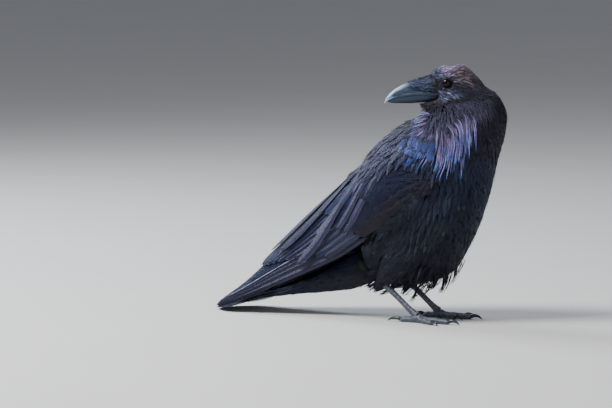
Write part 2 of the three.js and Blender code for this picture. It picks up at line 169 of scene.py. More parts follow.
# Where the face's feathers end behind the bill, as x and z in the head's middle plane.
FACE_LINE = [[22, 14], [13, 0], [12, -12], [11, -18.5], [37, -27.8]]
HOOD_ROWS = [
    [7, 11, -13.5, 14.5],
    [17, 10.4, -12.5, 14.4],
    [27, 8.2, -10.5, 12.8],
    [37, 5.1, -8.4, 10.9],
    [50, 0.5, -5.5, 8.3],
]


# ---------------------------------------------------------------- small maths
def between(rows, t):
    """Smooth value of a table at t, in rows; beyond its ends it goes on straight."""
    rows, t = np.asarray(rows, float), np.asarray(t, float)
    last = len(rows) - 1
    inside = np.clip(t, 0, last)
    i = np.clip(np.floor(inside).astype(int), 0, last - 1)
    f = (inside - i)[..., None]
    a, b, c, d = (rows[np.clip(i + k, 0, last)] for k in (-1, 0, 1, 2))
    slope_in, slope_out, rise = (c - a) / 2, (d - b) / 2, c - b
    cubic = slope_in + slope_out - 2 * rise
    curve = b + f * (slope_in + f * (3 * rise - 2 * slope_in - slope_out + f * cubic))
    end = np.where(t[..., None] < 0, slope_in, slope_out)
    return curve + (t - inside)[..., None] * end


def directions(count):
    """Angles spread evenly over a whole turn."""
    return np.linspace(0, TURN, count + 1)[:-1]


def grid(a, b):
    """Every pair of a value of a and one of b, as two arrays."""
    return np.meshgrid(a, b, indexing="ij")


def cos_sin(degrees):
    return math.cos(math.radians(degrees)), math.sin(math.radians(degrees))


def bend(value, power):
    return np.sign(value) * np.abs(value) ** power


def dot(a, b):
    return (a * b).sum(-1)


def unit(v):
    return v / np.maximum(np.linalg.norm(v, axis=-1, keepdims=True), 1e-9)


def smooth(low, high, value):
    f = np.clip((value - low) / (high - low), 0, 1)
    return f * f * (3 - 2 * f)


def waves(p, size, seed):
    """Soft noise from -1 to 1 over space, with patches about size mm across."""
    local = np.random.default_rng(seed)
    total = 0
    for _ in range(5):
        direction = unit(local.normal(size=3)) * TURN / (size * local.uniform(1.2, 2.6))
        total = total + np.sin(p @ direction + local.uniform(0, 6.28))
    return total / 3


def to_row(points):
    return (np.asarray(points, float) - [ORIGIN_X, 0, 0]) * MM


def from_row(points):
    return points / MM + [ORIGIN_X, 0, 0]


def linear(r, g, b):
    """Scene-linear colour of an sRGB one given in 0 to 255."""
    return np.array([((c / 255 + 0.055) / 1.055) ** 2.4 if c > 10 else c / 255 / 12.92 for c in (r, g, b)])


# ---------------------------------------------------------------- surfaces, each a function of (a, b, height)
def from_neck_axis(along, side, z, heading):
    c, s = np.cos(np.radians(heading)), np.sin(np.radians(heading))
    return np.stack([NECK_X + along * c - side * s, along * s + side * c, z], -1)


def in_head(x, y, z):
    """x forward from the eye, y to the head's own left, z up from the eye."""
    x, y, z = (np.asarray(v, float) for v in (x, y, z))
    return from_neck_axis(EYE_ALONG - x, -y, EYE_HEIGHT + z, HEAD_HEADING)


def head_place(p):
    """x, y and z of points, as in_head() takes them."""
    c, s = cos_sin(HEAD_HEADING)
    x, y, z = np.moveaxis(p, -1, 0)
    return EYE_ALONG - (x - NECK_X) * c - y * s, (x - NECK_X) * s - y * c, z - EYE_HEIGHT


def core_surface(t, angle, height):
    """The body: t counts slices from the vent to the bill; angle 0 is the breast and nape, pi the back."""
    back_a, back_z, front_a, front_z, half, power, heading = np.moveaxis(between(CORE_ROWS, t), -1, 0)
    reach = np.hypot(front_a - back_a, front_z - back_z) / 2
    across = bend(np.cos(angle), 2 / power) * (reach + height) / reach
    side = bend(np.sin(angle), 2 / power) * (half + height)
    along = (back_a + front_a) / 2 + (front_a - back_a) / 2 * across
    z = (back_z + front_z) / 2 + (front_z - back_z) / 2 * across
    return from_neck_axis(along, side, z, heading)


def wing_surface(side):
    def surface(s, t, height):
        row = between(WING_STATIONS, s)
        run = between(WING_STATIONS, s + 0.05)[..., :3] - between(WING_STATIONS, s - 0.05)[..., :3]
        lower, chord = row[..., :3], row[..., 3:6] - row[..., :3]
        out = unit(np.cross(run, chord))
        arch = 1 - (2 * t - 1) ** 2
        point = lower + chord * t[..., None] + out * (row[..., 6] * arch + height)[..., None]
        return point * [1, side, 1]

    return surface


def tube_surface(rows, side):
    """A round tube whose rows give x, y as a share of the stance, z and radius."""

    def surface(t, angle, height):
        row = between(rows, t)
        run = unit((between(rows, t + 0.02) - between(rows, t - 0.02))[..., :3] * [1, STANCE, 1])
        across = unit(np.cross([0, 0, 1], run))
        up = np.cross(run, across)
        size = (row[..., 3] + height)[..., None]
        centre = row[..., :3] * [1, STANCE, 1]
        point = centre + (across * np.cos(angle)[..., None] + up * np.sin(angle)[..., None]) * size
        return point * [1, side, 1]

    return surface


def rump_surface(t, angle, height):
    """The round root of the tail under its coverts."""
    x, top, half, droop, thick = np.moveaxis(between(TAIL_ROWS, t), -1, 0)
    middle = top - thick / 2 - droop * 0.25
    y = np.cos(angle) * (half * 0.96 + height)
    return np.stack([x, y, middle + np.sin(angle) * (thick / 2 + height)], -1)


def back_surface(t, angle, height):
    """The lower back, under the folded wings."""
    x, top, half, thick = np.moveaxis(between(BACK_ROWS, t), -1, 0)
    z = top - thick / 2 + np.sin(angle) * (thick / 2 + height)
    return np.stack([x, np.cos(angle) * (half + height), z], -1)


def tail_surface(u, v, height):
    """The fan's upper face: u rows from the root, v from the right edge (0) to the left (1)."""
    x, top, half, droop, _ = np.moveaxis(between(TAIL_ROWS, u), -1, 0)
    across = 2 * v - 1
    return np.stack([x, half * across, top - droop * across**2 + height], -1)


def hood_surface(t, angle, height):
    """The bristly root of the upper bill: angle 0 is its left lower edge and pi its right."""
    x, ridge, edge, half = np.moveaxis(between(HOOD_ROWS, t), -1, 0)
    y = bend(np.cos(angle), 0.92) * (half + height)
    return in_head(x, y, edge + (ridge - edge + height) * np.abs(np.sin(angle)) ** 0.85)


def tangents(surface, a, b, height=0.0):
    """Point, outward normal and the two derivatives at (a, b)."""
    e = 1e-3
    pa = (surface(a + e, b, height) - surface(a - e, b, height)) / (2 * e)
    pb = (surface(a, b + e, height) - surface(a, b - e, height)) / (2 * e)
    out = unit(np.cross(pa, pb))
    rise = surface(a, b, height + 1) - surface(a, b, height - 1)
    out = np.where(dot(out, rise)[..., None] < 0, -out, out)
    return surface(a, b, height), out, pa, pb


def across(p, out):
    """Unit vectors across paths of points, in the surface that they run over."""
    return unit(np.cross(out, unit(np.gradient(p, axis=1))))


def steps_of(vector, pa, pb):
    """How far (a, b) go for a tangent vector."""
    aa, ab, bb = dot(pa, pa), dot(pa, pb), dot(pb, pb)
    va, vb = dot(vector, pa), dot(vector, pb)
    det = np.maximum(aa * bb - ab**2, 1e-6 * aa * bb + 1e-9)
    return (bb * va - ab * vb) / det, (aa * vb - ab * va) / det


LONGEST_STEPS = (1.5, 0.5)  # in a and in b, where the lines of a surface run together


def walk(surface, a, b, heading, length, stations):
    """Paths of equal steps over a surface, led by heading(point, out, pa, pb)."""
    path_a, path_b = [a], [b]
    for _ in range(stations - 1):
        p, out, pa, pb = tangents(surface, a, b)
        d = heading(p, out, pa, pb)
        d = unit(d - out * dot(d, out)[..., None]) * (length / (stations - 1))[..., None]
        da, db = (np.clip(step, -most, most) for step, most in zip(steps_of(d, pa, pb), LONGEST_STEPS))
        a, b = a + da, b + db
        path_a.append(a)
        path_b.append(b)
    return np.stack(path_a, 1), np.stack(path_b, 1)


# ---------------------------------------------------------------- feathers
# Shapes: where the width has risen and by what power, where it begins to fall and by what two powers, and the
# least width.
ROUND = (0.45, 0.6, 0.6, 2.4, 0.5, 0.03)
LANCE = (0.3, 0.7, 0.3, 1.5, 1, 0.05)
LOOSE = (0.4, 0.7, 0.4, 1.2, 1, 0.06)
FLIGHT = (0.2, 0.5, 0.84, 2.2, 0.5, 0.03)


def outline(shape, u):
    """Half width along a feather, as a share of its greatest."""
    risen, rise_power, fall, fall_power, tip_power, least = shape
    rise = np.clip(u / risen, 0, 1) ** rise_power
    taper = np.clip(1 - (np.clip(u - fall, 0, 1) / (1 - fall)) ** fall_power, 0, 1) ** tip_power
    return rise * taper * (1 - least) + least


def laid(surface, a, b, heading, length, stations, depth, layer, stand, lift=0.0):
    """Paths of feathers from their roots, with heights that rise from the skin and then lie on the next
    feathers."""
    paths = walk(surface, a, b, heading, length, stations)
    u = np.linspace(0, 1, stations)
    depth, layer, stand = (np.reshape(v, (-1, 1)) for v in (depth, layer, stand))
    return *paths, -depth * (1 - u) ** 6 - layer * (1 - u) + stand * u**3 + lift


def round_faces(rows, columns):
    """Triangles over rows of points that are each joined round."""
    k = np.arange(rows - 1)[:, None] * columns
    c = np.arange(columns)[None, :]
    after = (c + 1) % columns
    corners = np.broadcast_arrays(k + c, k + columns + c, k + columns + after, k + after)
    quads = np.stack(corners, -1).reshape(-1, 4)
    return np.concatenate([quads[:, [0, 1, 2]], quads[:, [0, 2, 3]]])


FLOOR_GAP = 0.2  # mm; no feather hangs lower
VANE_SCALE = 0.01  # units of the Vane map for each millimetre


class Coat:
    """Feathers gathered into one joined mesh."""

    def __init__(self, name, material, slot="plumage"):
        self.name, self.material, self.slot = name, material, slot
        self.points, self.faces, self.sharp, self.tints = [], [], [], []
        self.bake, self.vane = [], []
        self.count = 0

    def add(self, surface, a, b, width, height, shape, tint, place, *, wrap=False, **style):
        """Feathers along paths (a, b) over a surface; wrap bends their vanes to it as well."""
        p, out, pa, pb = tangents(surface, a, b)
        side = across(p, out)
        sa, sb = steps_of(side, pa, pb)

        def wrapped(offset, lift):
            return surface(a[..., None] + sa[..., None] * offset, b[..., None] + sb[..., None] * offset, lift)

        self.strips(p, out, side, width, height, shape, tint, place, at=wrapped if wrap else None, **style)

    def strips(
        self, p, out, side, width, height, shape, tint, place, *, at=None, columns=5, camber=0.05, narrow=1.0,
        hand=1, tilt=0.0, thick=0.25, ragged=0.0, edge=0.0, patch=(0.003, 0.003), keel=True,
    ):
        """p, out and side are (feathers, stations, 3) and height is (feathers, stations). width is each
        feather's half width. narrow scales its left vane, or with hand -1 its right one, and tilt lifts that
        vane over the feather beside it. edge is how much paler its margin is, a painted highlight along the
        rims. tint is (feathers, 3) or (feathers, stations, 3). Each one's patch of the OFBake map lies round
        its place."""
        n, s = p.shape[:2]
        u = np.linspace(0, 1, s)
        c = np.linspace(-1, 1, columns)
        half = np.asarray(width, float).reshape(-1, 1, 1) * outline(shape, u)[None, :, None]
        offset = half * (c * np.where(c * hand < 0, narrow, 1.0))[None, None, :]
        if ragged:
            offset = offset * (1 - ragged * rng.random((n, s, columns)) * (np.abs(c) > 0.99))
        lift = height[..., None] - camber * half * c[None, None, :] ** 2 + thick * 0.5 * (np.abs(c) < 0.01)
        lift = lift - tilt * hand * c * outline(shape, u)[None, :, None]
        if at is None:
            top = p[:, :, None] + side[:, :, None] * offset[..., None] + out[:, :, None] * lift[..., None]
        else:
            top = at(offset, lift)
        ring, cross = columns, c
        if keel:
            low = top[:, :, columns // 2] - out * (thick * 1.5)
            top = np.concatenate([top, low[:, :, None]], 2)
            offset = np.concatenate([offset, np.zeros((n, s, 1))], 2)
            ring, cross = columns + 1, np.append(c, 0)
        self._faces(n, s, columns, ring)
        self.points.append(top.reshape(-1, 3))
        tint = np.asarray(tint, float)
        if tint.ndim == 2:
            tint = np.repeat(tint[:, None], s, 1)
        # Painted highlight: the outermost columns of each vane are paler by edge.
        margin = 1 + edge * (np.abs(cross) > 0.99)
        self.tints.append((tint[:, :, None] * margin[None, None, :, None]).reshape(-1, 3))
        spot = np.stack(np.broadcast_arrays(cross[None, :] * 0.5, u[:, None] - 0.5), -1) * patch
        self.bake.append((np.asarray(place)[:, None, None] + spot[None]).reshape(-1, 2))
        run = np.concatenate([np.zeros((n, 1)), np.cumsum(np.linalg.norm(np.diff(p, axis=1), axis=-1), 1)], 1)
        self.vane.append(np.stack([offset, np.repeat(run[..., None], ring, 2)], -1).reshape(-1, 2))
        self.count += n * s * ring

    def _faces(self, n, s, columns, ring):
        hub = ring - 1
        inner = np.arange(ring - 2)
        root = np.stack([np.full_like(inner, hub), inner + 1, inner], -1)
        end = (s - 1) * ring
        tip = np.stack([np.full_like(inner, hub), inner, inner + 1], -1) + end
        split = np.concatenate([round_faces(s, ring), root, tip])
        start = self.count + np.arange(n)[:, None, None] * (s * ring)
        self.faces.append((split[None] + start).reshape(-1, 3))
        rim = np.arange(s - 1)[:, None] * ring + [0, columns - 1]
        edge = np.stack([rim, rim + ring], -1).reshape(-1, 2)
        self.sharp.append((edge[None] + start).reshape(-1, 2))

    def build(self, replaces=()):
        points, faces = to_row(np.concatenate(self.points)), np.concatenate(self.faces)
        points[:, 2] = np.maximum(points[:, 2], FLOOR_GAP * MM)
        mesh = mesh_from(self.name, points, faces)
        corners = faces.reshape(-1)
        bake, vane = np.concatenate(self.bake), np.concatenate(self.vane) * VANE_SCALE
        mesh.uv_layers.new(name="OFBake").data.foreach_set("uv", bake[corners].ravel())
        mesh.uv_layers.new(name="Vane").data.foreach_set("uv", vane[corners].ravel())
        paint(mesh, np.concatenate(self.tints))
        edges = np.zeros(len(mesh.edges) * 2, np.int32)
        mesh.edges.foreach_get("vertices", edges)
        size = len(points)
        keys = np.sort(edges.reshape(-1, 2), 1) @ [size, 1]
        marked = np.sort(np.concatenate(self.sharp), 1) @ [size, 1]
        sharp = mesh.attributes.new("sharp_edge", "BOOLEAN", "EDGE")
        sharp.data.foreach_set("value", np.isin(keys, marked))
        return piece(self.name, mesh, self.material, self.slot, replaces)


def even(colour, count):
    """The same colour for each feather."""
    return np.tile(colour, (count, 1))


def mesh_from(name, points, faces, soft=True):
    """A triangle mesh from arrays, in metres."""
    mesh = bpy.data.meshes.new(name)
    faces = np.asarray(faces, np.int32)
    mesh.vertices.add(len(points))
    mesh.vertices.foreach_set("co", np.asarray(points, np.float32).ravel())
    mesh.loops.add(faces.size)
    mesh.loops.foreach_set("vertex_index", faces.ravel())
    mesh.polygons.add(len(faces))
    mesh.polygons.foreach_set("loop_start", np.arange(0, faces.size, 3, dtype=np.int32))
    mesh.update(calc_edges=True)
    mesh.polygons.foreach_set("use_smooth", np.full(len(faces), soft))
    mesh.update()
    return mesh


def paint(mesh, colours):
    """Colour of each vertex, read by the materials as tint."""
    layer = mesh.color_attributes.new(name="tint", type="FLOAT_COLOR", domain="POINT")
    opaque = np.column_stack([colours, np.ones(len(colours))])
    layer.data.foreach_set("color", opaque.astype(np.float32).ravel())


def piece(name, mesh, material, slot, replaces=()):
    obj = placed(name, mesh)
    mesh.materials.append(material)
    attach(obj, "root")
    if replaces:
        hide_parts(*replaces)
    return obj


def placed(name, data):
    """A new object of the scene."""
    made = bpy.data.objects.new(name, data)
    bpy.context.scene.collection.objects.link(made)
    return made


def nearest_of(points):
    """A search tree over points."""
    tree = KDTree(len(points))
    for i, point in enumerate(points):
        tree.insert(point, i)
    tree.balance()
    return tree


def unwrapped(along, across):
    """A root's place on the unwrap of a surface, from its shares of the length and of the breadth."""
    return np.stack([0.02 + 0.96 * along, 0.02 + 0.96 * across], -1)


def scatter(surface, a_range, b_range, spacing, amount=60000):
    """Roots spread evenly over a surface, spacing(a, b, point) mm apart."""
    a, b = rng.uniform(*a_range, amount), rng.uniform(*b_range, amount)
    p, _, pa, pb = tangents(surface, a, b)
    gap = spacing(a, b, p) + np.zeros(amount)
    weight = np.linalg.norm(np.cross(pa, pb), axis=-1) / gap**2
    order = rng.permutation(np.flatnonzero(rng.random(amount) < weight / np.quantile(weight, 0.995)))
    a, b, p, gap = a[order], b[order], p[order], gap[order]
    tree = nearest_of(p)
    free, kept = np.ones(len(p), bool), []
    for i in range(len(p)):
        if free[i]:
            kept.append(i)
            for _, j, _ in tree.find_range(p[i], gap[i]):
                free[j] = False
    return a[kept], b[kept], p[kept]


# ---------------------------------------------------------------- materials
class Graph:
    """Short words for making and linking shader nodes."""

    def __init__(self, name):
        self.material = bpy.data.materials.new(name)
        self.material.use_nodes = True
        self.tree = self.material.node_tree
        self.shader = self.tree.nodes["Principled BSDF"]

    def node(self, kind, inputs=None, **settings):
        made = self.tree.nodes.new(kind)
        for key, value in settings.items():
            setattr(made, key, value)
        for key, value in (inputs or {}).items():
            self.set(made, key, value)
        return made

    def set(self, made, key, value):
        if isinstance(value, bpy.types.NodeSocket):
            self.tree.links.new(value, made.inputs[key])
        else:
            made.inputs[key].default_value = value

    def math(self, operation, *values):
        return self.node("ShaderNodeMath", dict(enumerate(values)), operation=operation).outputs[0]

    def mix(self, factor, a, b, blend="MIX"):
        made = self.node("ShaderNodeMix", data_type="RGBA", blend_type=blend, clamp_factor=True)
        for key, value in ((0, factor), (6, a), (7, b)):
            self.set(made, key, value)
        return made.outputs[2]

    def times(self, colour, r, g, b):
        return self.mix(1.0, colour, (r, g, b, 1), "MULTIPLY")

    def ramp(self, factor, low, high, out_low=0.0, out_high=1.0):
        settings = {"Value": factor, "From Min": low, "From Max": high, "To Min": out_low, "To Max": out_high}
        return self.node("ShaderNodeMapRange", settings).outputs[0]

    def noise(self, vector, scale, detail=3.0, roughness=0.55):
        settings = {"Vector": vector, "Scale": scale, "Detail": detail, "Roughness": roughness}
        return self.node("ShaderNodeTexNoise", settings).outputs["Fac"]

    def position(self):
        return self.node("ShaderNodeNewGeometry").outputs["Position"]

    def tint(self, output="Color"):
        return self.node("ShaderNodeAttribute", attribute_name="tint").outputs[output]

    def bump(self, height, strength, distance):
        settings = {"Height": height, "Strength": strength, "Distance": distance}
        self.set(self.shader, "Normal", self.node("ShaderNodeBump", settings).outputs[0])

    def finish(self, colour, roughness, **constant):
        self.set(self.shader, "Base Color", colour)
        self.set(self.shader, "Roughness", roughness)
        for key, value in constant.items():
            self.shader.inputs[key.replace("_", " ")].default_value = value
        return self.material


def feather_material(name, rough_low, rough_high, shaft, level, barb_size=0.55, sheen=0.06, streaks=0.5):
    """Barbs run out from the shaft and forwards and cling together in strands that lie along the feather.
    shaft is how much paler the shaft is than its vanes, and streaks how much the strands differ."""
    g = Graph(name)
    parts = g.node("ShaderNodeSeparateXYZ", {0: g.node("ShaderNodeUVMap", uv_map="Vane").outputs[0]})
    across = g.math("MULTIPLY", g.math("ABSOLUTE", parts.outputs[0]), 1 / VANE_SCALE)
    along = g.math("MULTIPLY", parts.outputs[1], 1 / VANE_SCALE)
    fine = g.math("SINE", g.math("MULTIPLY", g.math("MULTIPLY_ADD", across, -1.3, along), TURN / barb_size))
    own = g.math("MULTIPLY", g.tint("Fac"), 60)
    stretched = {0: g.math("MULTIPLY", parts.outputs[0], 60), 1: g.math("MULTIPLY", along, 0.07), 2: own}
    strands = g.noise(g.node("ShaderNodeCombineXYZ", stretched).outputs[0], 1.0, 3, 0.65)
    grain = g.noise(g.position(), 420, 4)
    patchy = g.noise(g.position(), 60, 3)
    wear = g.math("MULTIPLY_ADD", fine, 0.10, g.math("MULTIPLY", grain, 0.55))
    tint = g.mix(1.0, g.tint(), g.ramp(strands, 0.35, 0.65, 1 - streaks, 1 + streaks), "MULTIPLY")
    lit = g.mix(g.ramp(wear, 0.1, 0.5), g.times(tint, 0.55, 0.55, 0.6), tint)
    warm = g.mix(g.ramp(patchy, 0.58, 0.78, 0, 0.45), lit, g.times(lit, 1.5, 1.05, 0.85))
    colour = g.mix(g.ramp(across, 0.2, 0.6, shaft, 0), warm, g.times(warm, 3.2, 3.0, 2.9))
    rough_strands = g.math("MULTIPLY_ADD", strands, 0.8, g.math("MULTIPLY", grain, 0.5))
    uneven = g.math("MULTIPLY_ADD", fine, 0.12, rough_strands)
    g.bump(g.math("ADD", uneven, g.math("MULTIPLY", fine, 0.4)), 0.5, 0.0005)
    g.shader.inputs["Sheen Tint"].default_value = (0.5, 0.55, 0.85, 1)
    g.shader.inputs["Specular Tint"].default_value = (0.58, 0.68, 1.0, 1)
    rough = g.ramp(uneven, 0.35, 0.95, rough_low, rough_high)
    return g.finish(colour, rough, Sheen_Weight=sheen, Sheen_Roughness=0.4, Specular_IOR_Level=level)


def skin_material():
    g = Graph("skin")
    tint = g.tint()
    pores = g.node("ShaderNodeTexVoronoi", {"Vector": g.position(), "Scale": 900}).outputs["Distance"]
    soft = g.noise(g.position(), 150)
    colour = g.mix(soft, g.times(tint, 0.5, 0.5, 0.5), tint)
    g.bump(g.math("ADD", pores, soft), 0.4, 0.0004)
    return g.finish(colour, g.ramp(soft, 0.3, 0.7, 0.45, 0.7), Specular_IOR_Level=0.3)


def horn_material(name, dark, pale, rough_low, rough_high):
    """Horn with growth streaks along it, paler in a soft mottle and where the tint is high; on the bill the
    tint paints highlights along the ridge and the cutting edges, and the lower half darker as shade.
    """
    g = Graph(name)
    place = g.node("ShaderNodeMapping", {"Vector": g.position(), "Scale": (60, 60, 420)}).outputs[0]
    streaks = g.noise(place, 1.0, 5, 0.7)
    paleness = g.noise(g.position(), 130, 4)
    factor = g.math("MULTIPLY", g.math("ADD", g.math("MULTIPLY", streaks, 0.8), paleness), g.tint("Fac"))
    colour = g.mix(g.ramp(factor, 0.3, 1.3), (*dark, 1), (*pale, 1))
    g.bump(g.math("ADD", streaks, g.math("MULTIPLY", paleness, 0.5)), 0.45, 0.0004)
    g.shader.inputs["Specular Tint"].default_value = (0.65, 0.78, 1.0, 1)
    return g.finish(colour, g.ramp(streaks, 0.3, 0.75, rough_low, rough_high), Specular_IOR_Level=0.55)


def scale_material():
    g = Graph("scaled_skin")
    cell = g.node("ShaderNodeTexVoronoi", {"Vector": g.position(), "Scale": 480}, feature="DISTANCE_TO_EDGE")
    seam = g.ramp(cell.outputs["Distance"], 0.0, 0.1)
    paleness = g.noise(g.position(), 240, 4)
    # The tint paints highlights on the plates' upper faces.
    lit = g.ramp(g.math("MULTIPLY", g.math("ADD", paleness, 0.3), g.tint("Fac")), 0.25, 0.75)
    face = g.mix(lit, (0.018, 0.02, 0.026, 1), (0.13, 0.15, 0.2, 1))
    colour = g.mix(seam, g.times(face, 0.4, 0.4, 0.4), face)
    g.bump(g.math("ADD", seam, g.math("MULTIPLY", paleness, 0.3)), 0.35, 0.0003)
    return g.finish(colour, g.ramp(paleness, 0.3, 0.7, 0.35, 0.55), Specular_IOR_Level=0.5)


def eye_material(name, centre, axis):
    """Very dark brown iris round a black pupil, under a wet clear coat."""
    g = Graph(name)
    offset = g.node("ShaderNodeVectorMath", {0: g.position(), 1: centre}, operation="SUBTRACT").outputs[0]
    depth = g.node("ShaderNodeVectorMath", {0: offset, 1: axis}, operation="DOT_PRODUCT").outputs["Value"]
    share = g.math("DIVIDE", depth, EYE_RADIUS * MM)
    ring = g.math("SQRT", g.math("MAXIMUM", g.math("SUBTRACT", 1.0, g.math("MULTIPLY", share, share)), 0.0))
    fibres = g.noise(g.position(), 900, 4)
    iris = g.mix(fibres, (0.003, 0.002, 0.0015, 1), (0.01, 0.006, 0.004, 1))
    colour = g.mix(g.ramp(ring, 0.3, 0.36), (0.001, 0.001, 0.001, 1), iris)
    colour = g.mix(g.ramp(ring, 0.58, 0.68), colour, (0.003, 0.003, 0.003, 1))
    rough = g.ramp(fibres, 0.3, 0.7, 0.05, 0.09)
    wet = {"Coat_Weight": 0.7, "Coat_Roughness": 0.01, "Coat_IOR": 1.33}
    return g.finish(colour, rough, Specular_IOR_Level=0.05, **wet)


PLUMAGE = feather_material("plumage", 0.3, 0.55, shaft=0.08, level=0.5)
DULL_PLUMAGE = feather_material("dull_plumage", 0.4, 0.65, shaft=0.04, level=0.32, sheen=0.02, streaks=0.65)
HACKLE_PLUMAGE = feather_material("hackle_plumage", 0.3, 0.5, shaft=0.3, level=0.6, streaks=0.4)
HAIRY = feather_material("hairy_plumage", 0.4, 0.65, shaft=0.0, level=0.45, sheen=0.05)
FLIGHT_VANES = feather_material("flight_vanes", 0.26, 0.44, shaft=0.1, level=0.45, barb_size=0.8, sheen=0.02)
SKIN = skin_material()
BILL_HORN = horn_material("bill_horn", (0.021, 0.03, 0.05), (0.38, 0.5, 0.74), 0.36, 0.6)
CLAW_HORN = horn_material("claw_horn", (0.006, 0.006, 0.008), (0.04, 0.042, 0.05), 0.18, 0.36)
SCALES = scale_material()

# ---------------------------------------------------------------- markings and painted sheen
# The plumage is black with brown wear. The blue, violet and lilac that lift many of these colours above black
# are painted sheen, put where light falls: crown, cheeks, collar, mantle, shoulder, coverts, wing and tail
# feathers and bristles. Belly, throat and nape stay near black.
CROWN = linear(132, 116, 146)
CREST = linear(86, 72, 76)
CHEEK = linear(75, 77, 100)
EAR = linear(30, 23, 24)
NAPE = linear(27, 21, 23)
COLLAR = linear(46, 42, 60)
MANTLE = linear(44, 44, 68)
SCAPULAR = linear(50, 66, 124)
COVERTS = linear(15, 20, 46)
SECONDARIES = linear(15, 24, 56)
PRIMARIES = linear(23, 33, 60)
BREAST = linear(25, 33, 50)
BELLY = linear(19, 19, 22)
TAIL = linear(27, 29, 40)
BROWN = linear(42, 28, 24)
DARK_BROWN = linear(28, 21, 22)
THROAT = linear(24, 20, 24)
LORES = linear(30, 22, 24)
BRISTLE = linear(72, 80, 106)
HACKLE_BASE, HACKLE_MIDDLE, HACKLE_TIP = linear(24, 20, 30), linear(84, 74, 108), linear(56, 84, 146)
LID = linear(40, 42, 52)
SHAFT = linear(160, 168, 190)
FLECK = linear(78, 66, 66)

# Patches of the plumage on both sides: x, y away from the middle plane, z, radius, colour. The blue one
# over the shoulder is painted sheen; the brown ones are the plumage's own.
PATCHES = (
    (9, 55, 234, 13, SCAPULAR),
    (17, 57, 212, 12, DARK_BROWN),
    (48, 46, 224, 5, BROWN),
    (22, 56, 196, 5, BROWN),
)


def mixed(a, b, f):
    return a + (b - a) * np.asarray(f)[..., None]


def patched(colour, p):
    """Colours with the patches laid over them."""
    for cx, cy, cz, radius, patch in PATCHES:
        distance = np.sqrt((p[..., 0] - cx) ** 2 + (np.abs(p[..., 1]) - cy) ** 2 + (p[..., 2] - cz) ** 2)
        colour = mixed(colour, patch, smooth(1.3 * radius, 0.6 * radius, distance))
    return colour


def body_tint(t, angle, p):
    """Colours of skin and coat alike, from the place on the body: black, brown patches and tone that varies,
    with painted sheen that makes the back, collar, crown and cheeks lighter and bluer than breast and belly.
    """
    back = (1 - np.cos(angle)) / 2
    lower = mixed(BELLY, BREAST, smooth(5, 8.5, t))
    # Painted shade: the mantle's colour is darker towards the tail, under the folded wings.
    upper = mixed(MANTLE * 0.7, MANTLE, smooth(3, 8, t))
    trunk = mixed(lower, upper, smooth(0.5, 0.8, back))
    neck = mixed(NAPE, COLLAR, smooth(0.12, 0.5, back))
    head = mixed(CROWN, mixed(EAR, CHEEK, smooth(17, 19, t)), smooth(0.12, 0.42, back))
    head = mixed(head, CREST, smooth(19.2, 18.2, t) * smooth(0.4, 0.2, back))
    head = mixed(head, THROAT, smooth(0.8, 0.95, back))
    head = mixed(NAPE, head, smooth(16.2, 18, t))
    colour = mixed(trunk, neck, smooth(8.5, 10.5, t))
    colour = mixed(colour, head, smooth(HEAD_ROW - 0.3, HEAD_ROW + 0.3, t))
    x, y, z = head_place(p)
    colour = mixed(colour, BRISTLE * 0.7, smooth(7, 17, x) * (z > 2) * (t > 17))
    colour = mixed(colour, THROAT, smooth(24, 13, np.linalg.norm(p - THROAT_POINT, axis=-1)))
    cheek = smooth(16, 8, np.hypot(x + 1, z + 16)) * (np.abs(y) > 8) * (t > 16)
    colour = mixed(colour, CHEEK, cheek)
    near = np.hypot((x - 13) / 6, (z + 1) / 7)
    colour = mixed(colour, LORES, smooth(1.4, 0.7, near) * (np.abs(y) > 4) * (t > 17))
    colour = patched(colour, p)
    brown = smooth(0.45, 0.95, waves(p, 26, 3)) * 0.4 * (t < 14)
    return mixed(colour, DARK_BROWN, brown) * (1 + 0.18 * waves(p, 12, 5))[..., None]


def varied(tint, amount=0.22):
    """Each feather a little lighter or darker than the next."""
    return tint * np.exp(amount * rng.normal(size=(len(tint), 1)).clip(-2, 2))


# ---------------------------------------------------------------- what lies over the body
ARM_LIFT = 4  # mm; the arm's outer surface over that of the primaries
COVER_REACH = 18  # mm; the most that a wing or a thigh lifts the coat that runs over it
COVER_NET = (240, 144)  # cells along and round the body
COVERING = [f"{part}_{word}" for part in ("wing", "secondaries", "primaries", "thigh") for word in SIDES]


def tree_of(nodes):
    """One search tree over the solids of these nodes."""
    points, faces = [], []
    for node in nodes:
        mesh, first = NODES[node].data, len(points)
        points += [v.co for v in mesh.vertices]
        faces += [[first + i for i in polygon.vertices] for polygon in mesh.polygons]
    return BVHTree.FromPolygons(points, faces)


def hits(nodes, starts, ways, reach):
    """What rays from starts first meet of the solids of nodes, within reach mm, as ray_cast() tells it."""
    tree = tree_of(nodes)
    return [tree.ray_cast(Vector(s), Vector(w), reach * MM) for s, w in zip(to_row(starts), ways)]


def under_trunk(p, out, reach):
    """Whether the trunk covers each point from outside, by up to reach mm."""
    return np.array([hit[0] is not None for hit in hits(["trunk"], p + out * 1.5, out, reach)])


def spread(net, fold):
    """Each cell folded together with its neighbours."""
    rows = np.pad(net, ((1, 1), (0, 0)), mode="edge")
    around = [np.roll(rows[i : i + len(net)], k, 1) for i in range(3) for k in (-1, 0, 1)]
    return fold(around, 0)


def cover_net():
    """How far wings and thighs stand out over the body, on a net of slices and angles."""
    t, angle = grid(np.linspace(0, BILL_ROW, COVER_NET[0]), directions(COVER_NET[1]))
    p, out, _, _ = tangents(core_surface, t.ravel(), angle.ravel())
    found = [hit[3] for hit in hits(COVERING, p + out * COVER_REACH, -out, COVER_REACH)]
    return np.array([0 if far is None else COVER_REACH - far / MM for far in found]).reshape(COVER_NET)


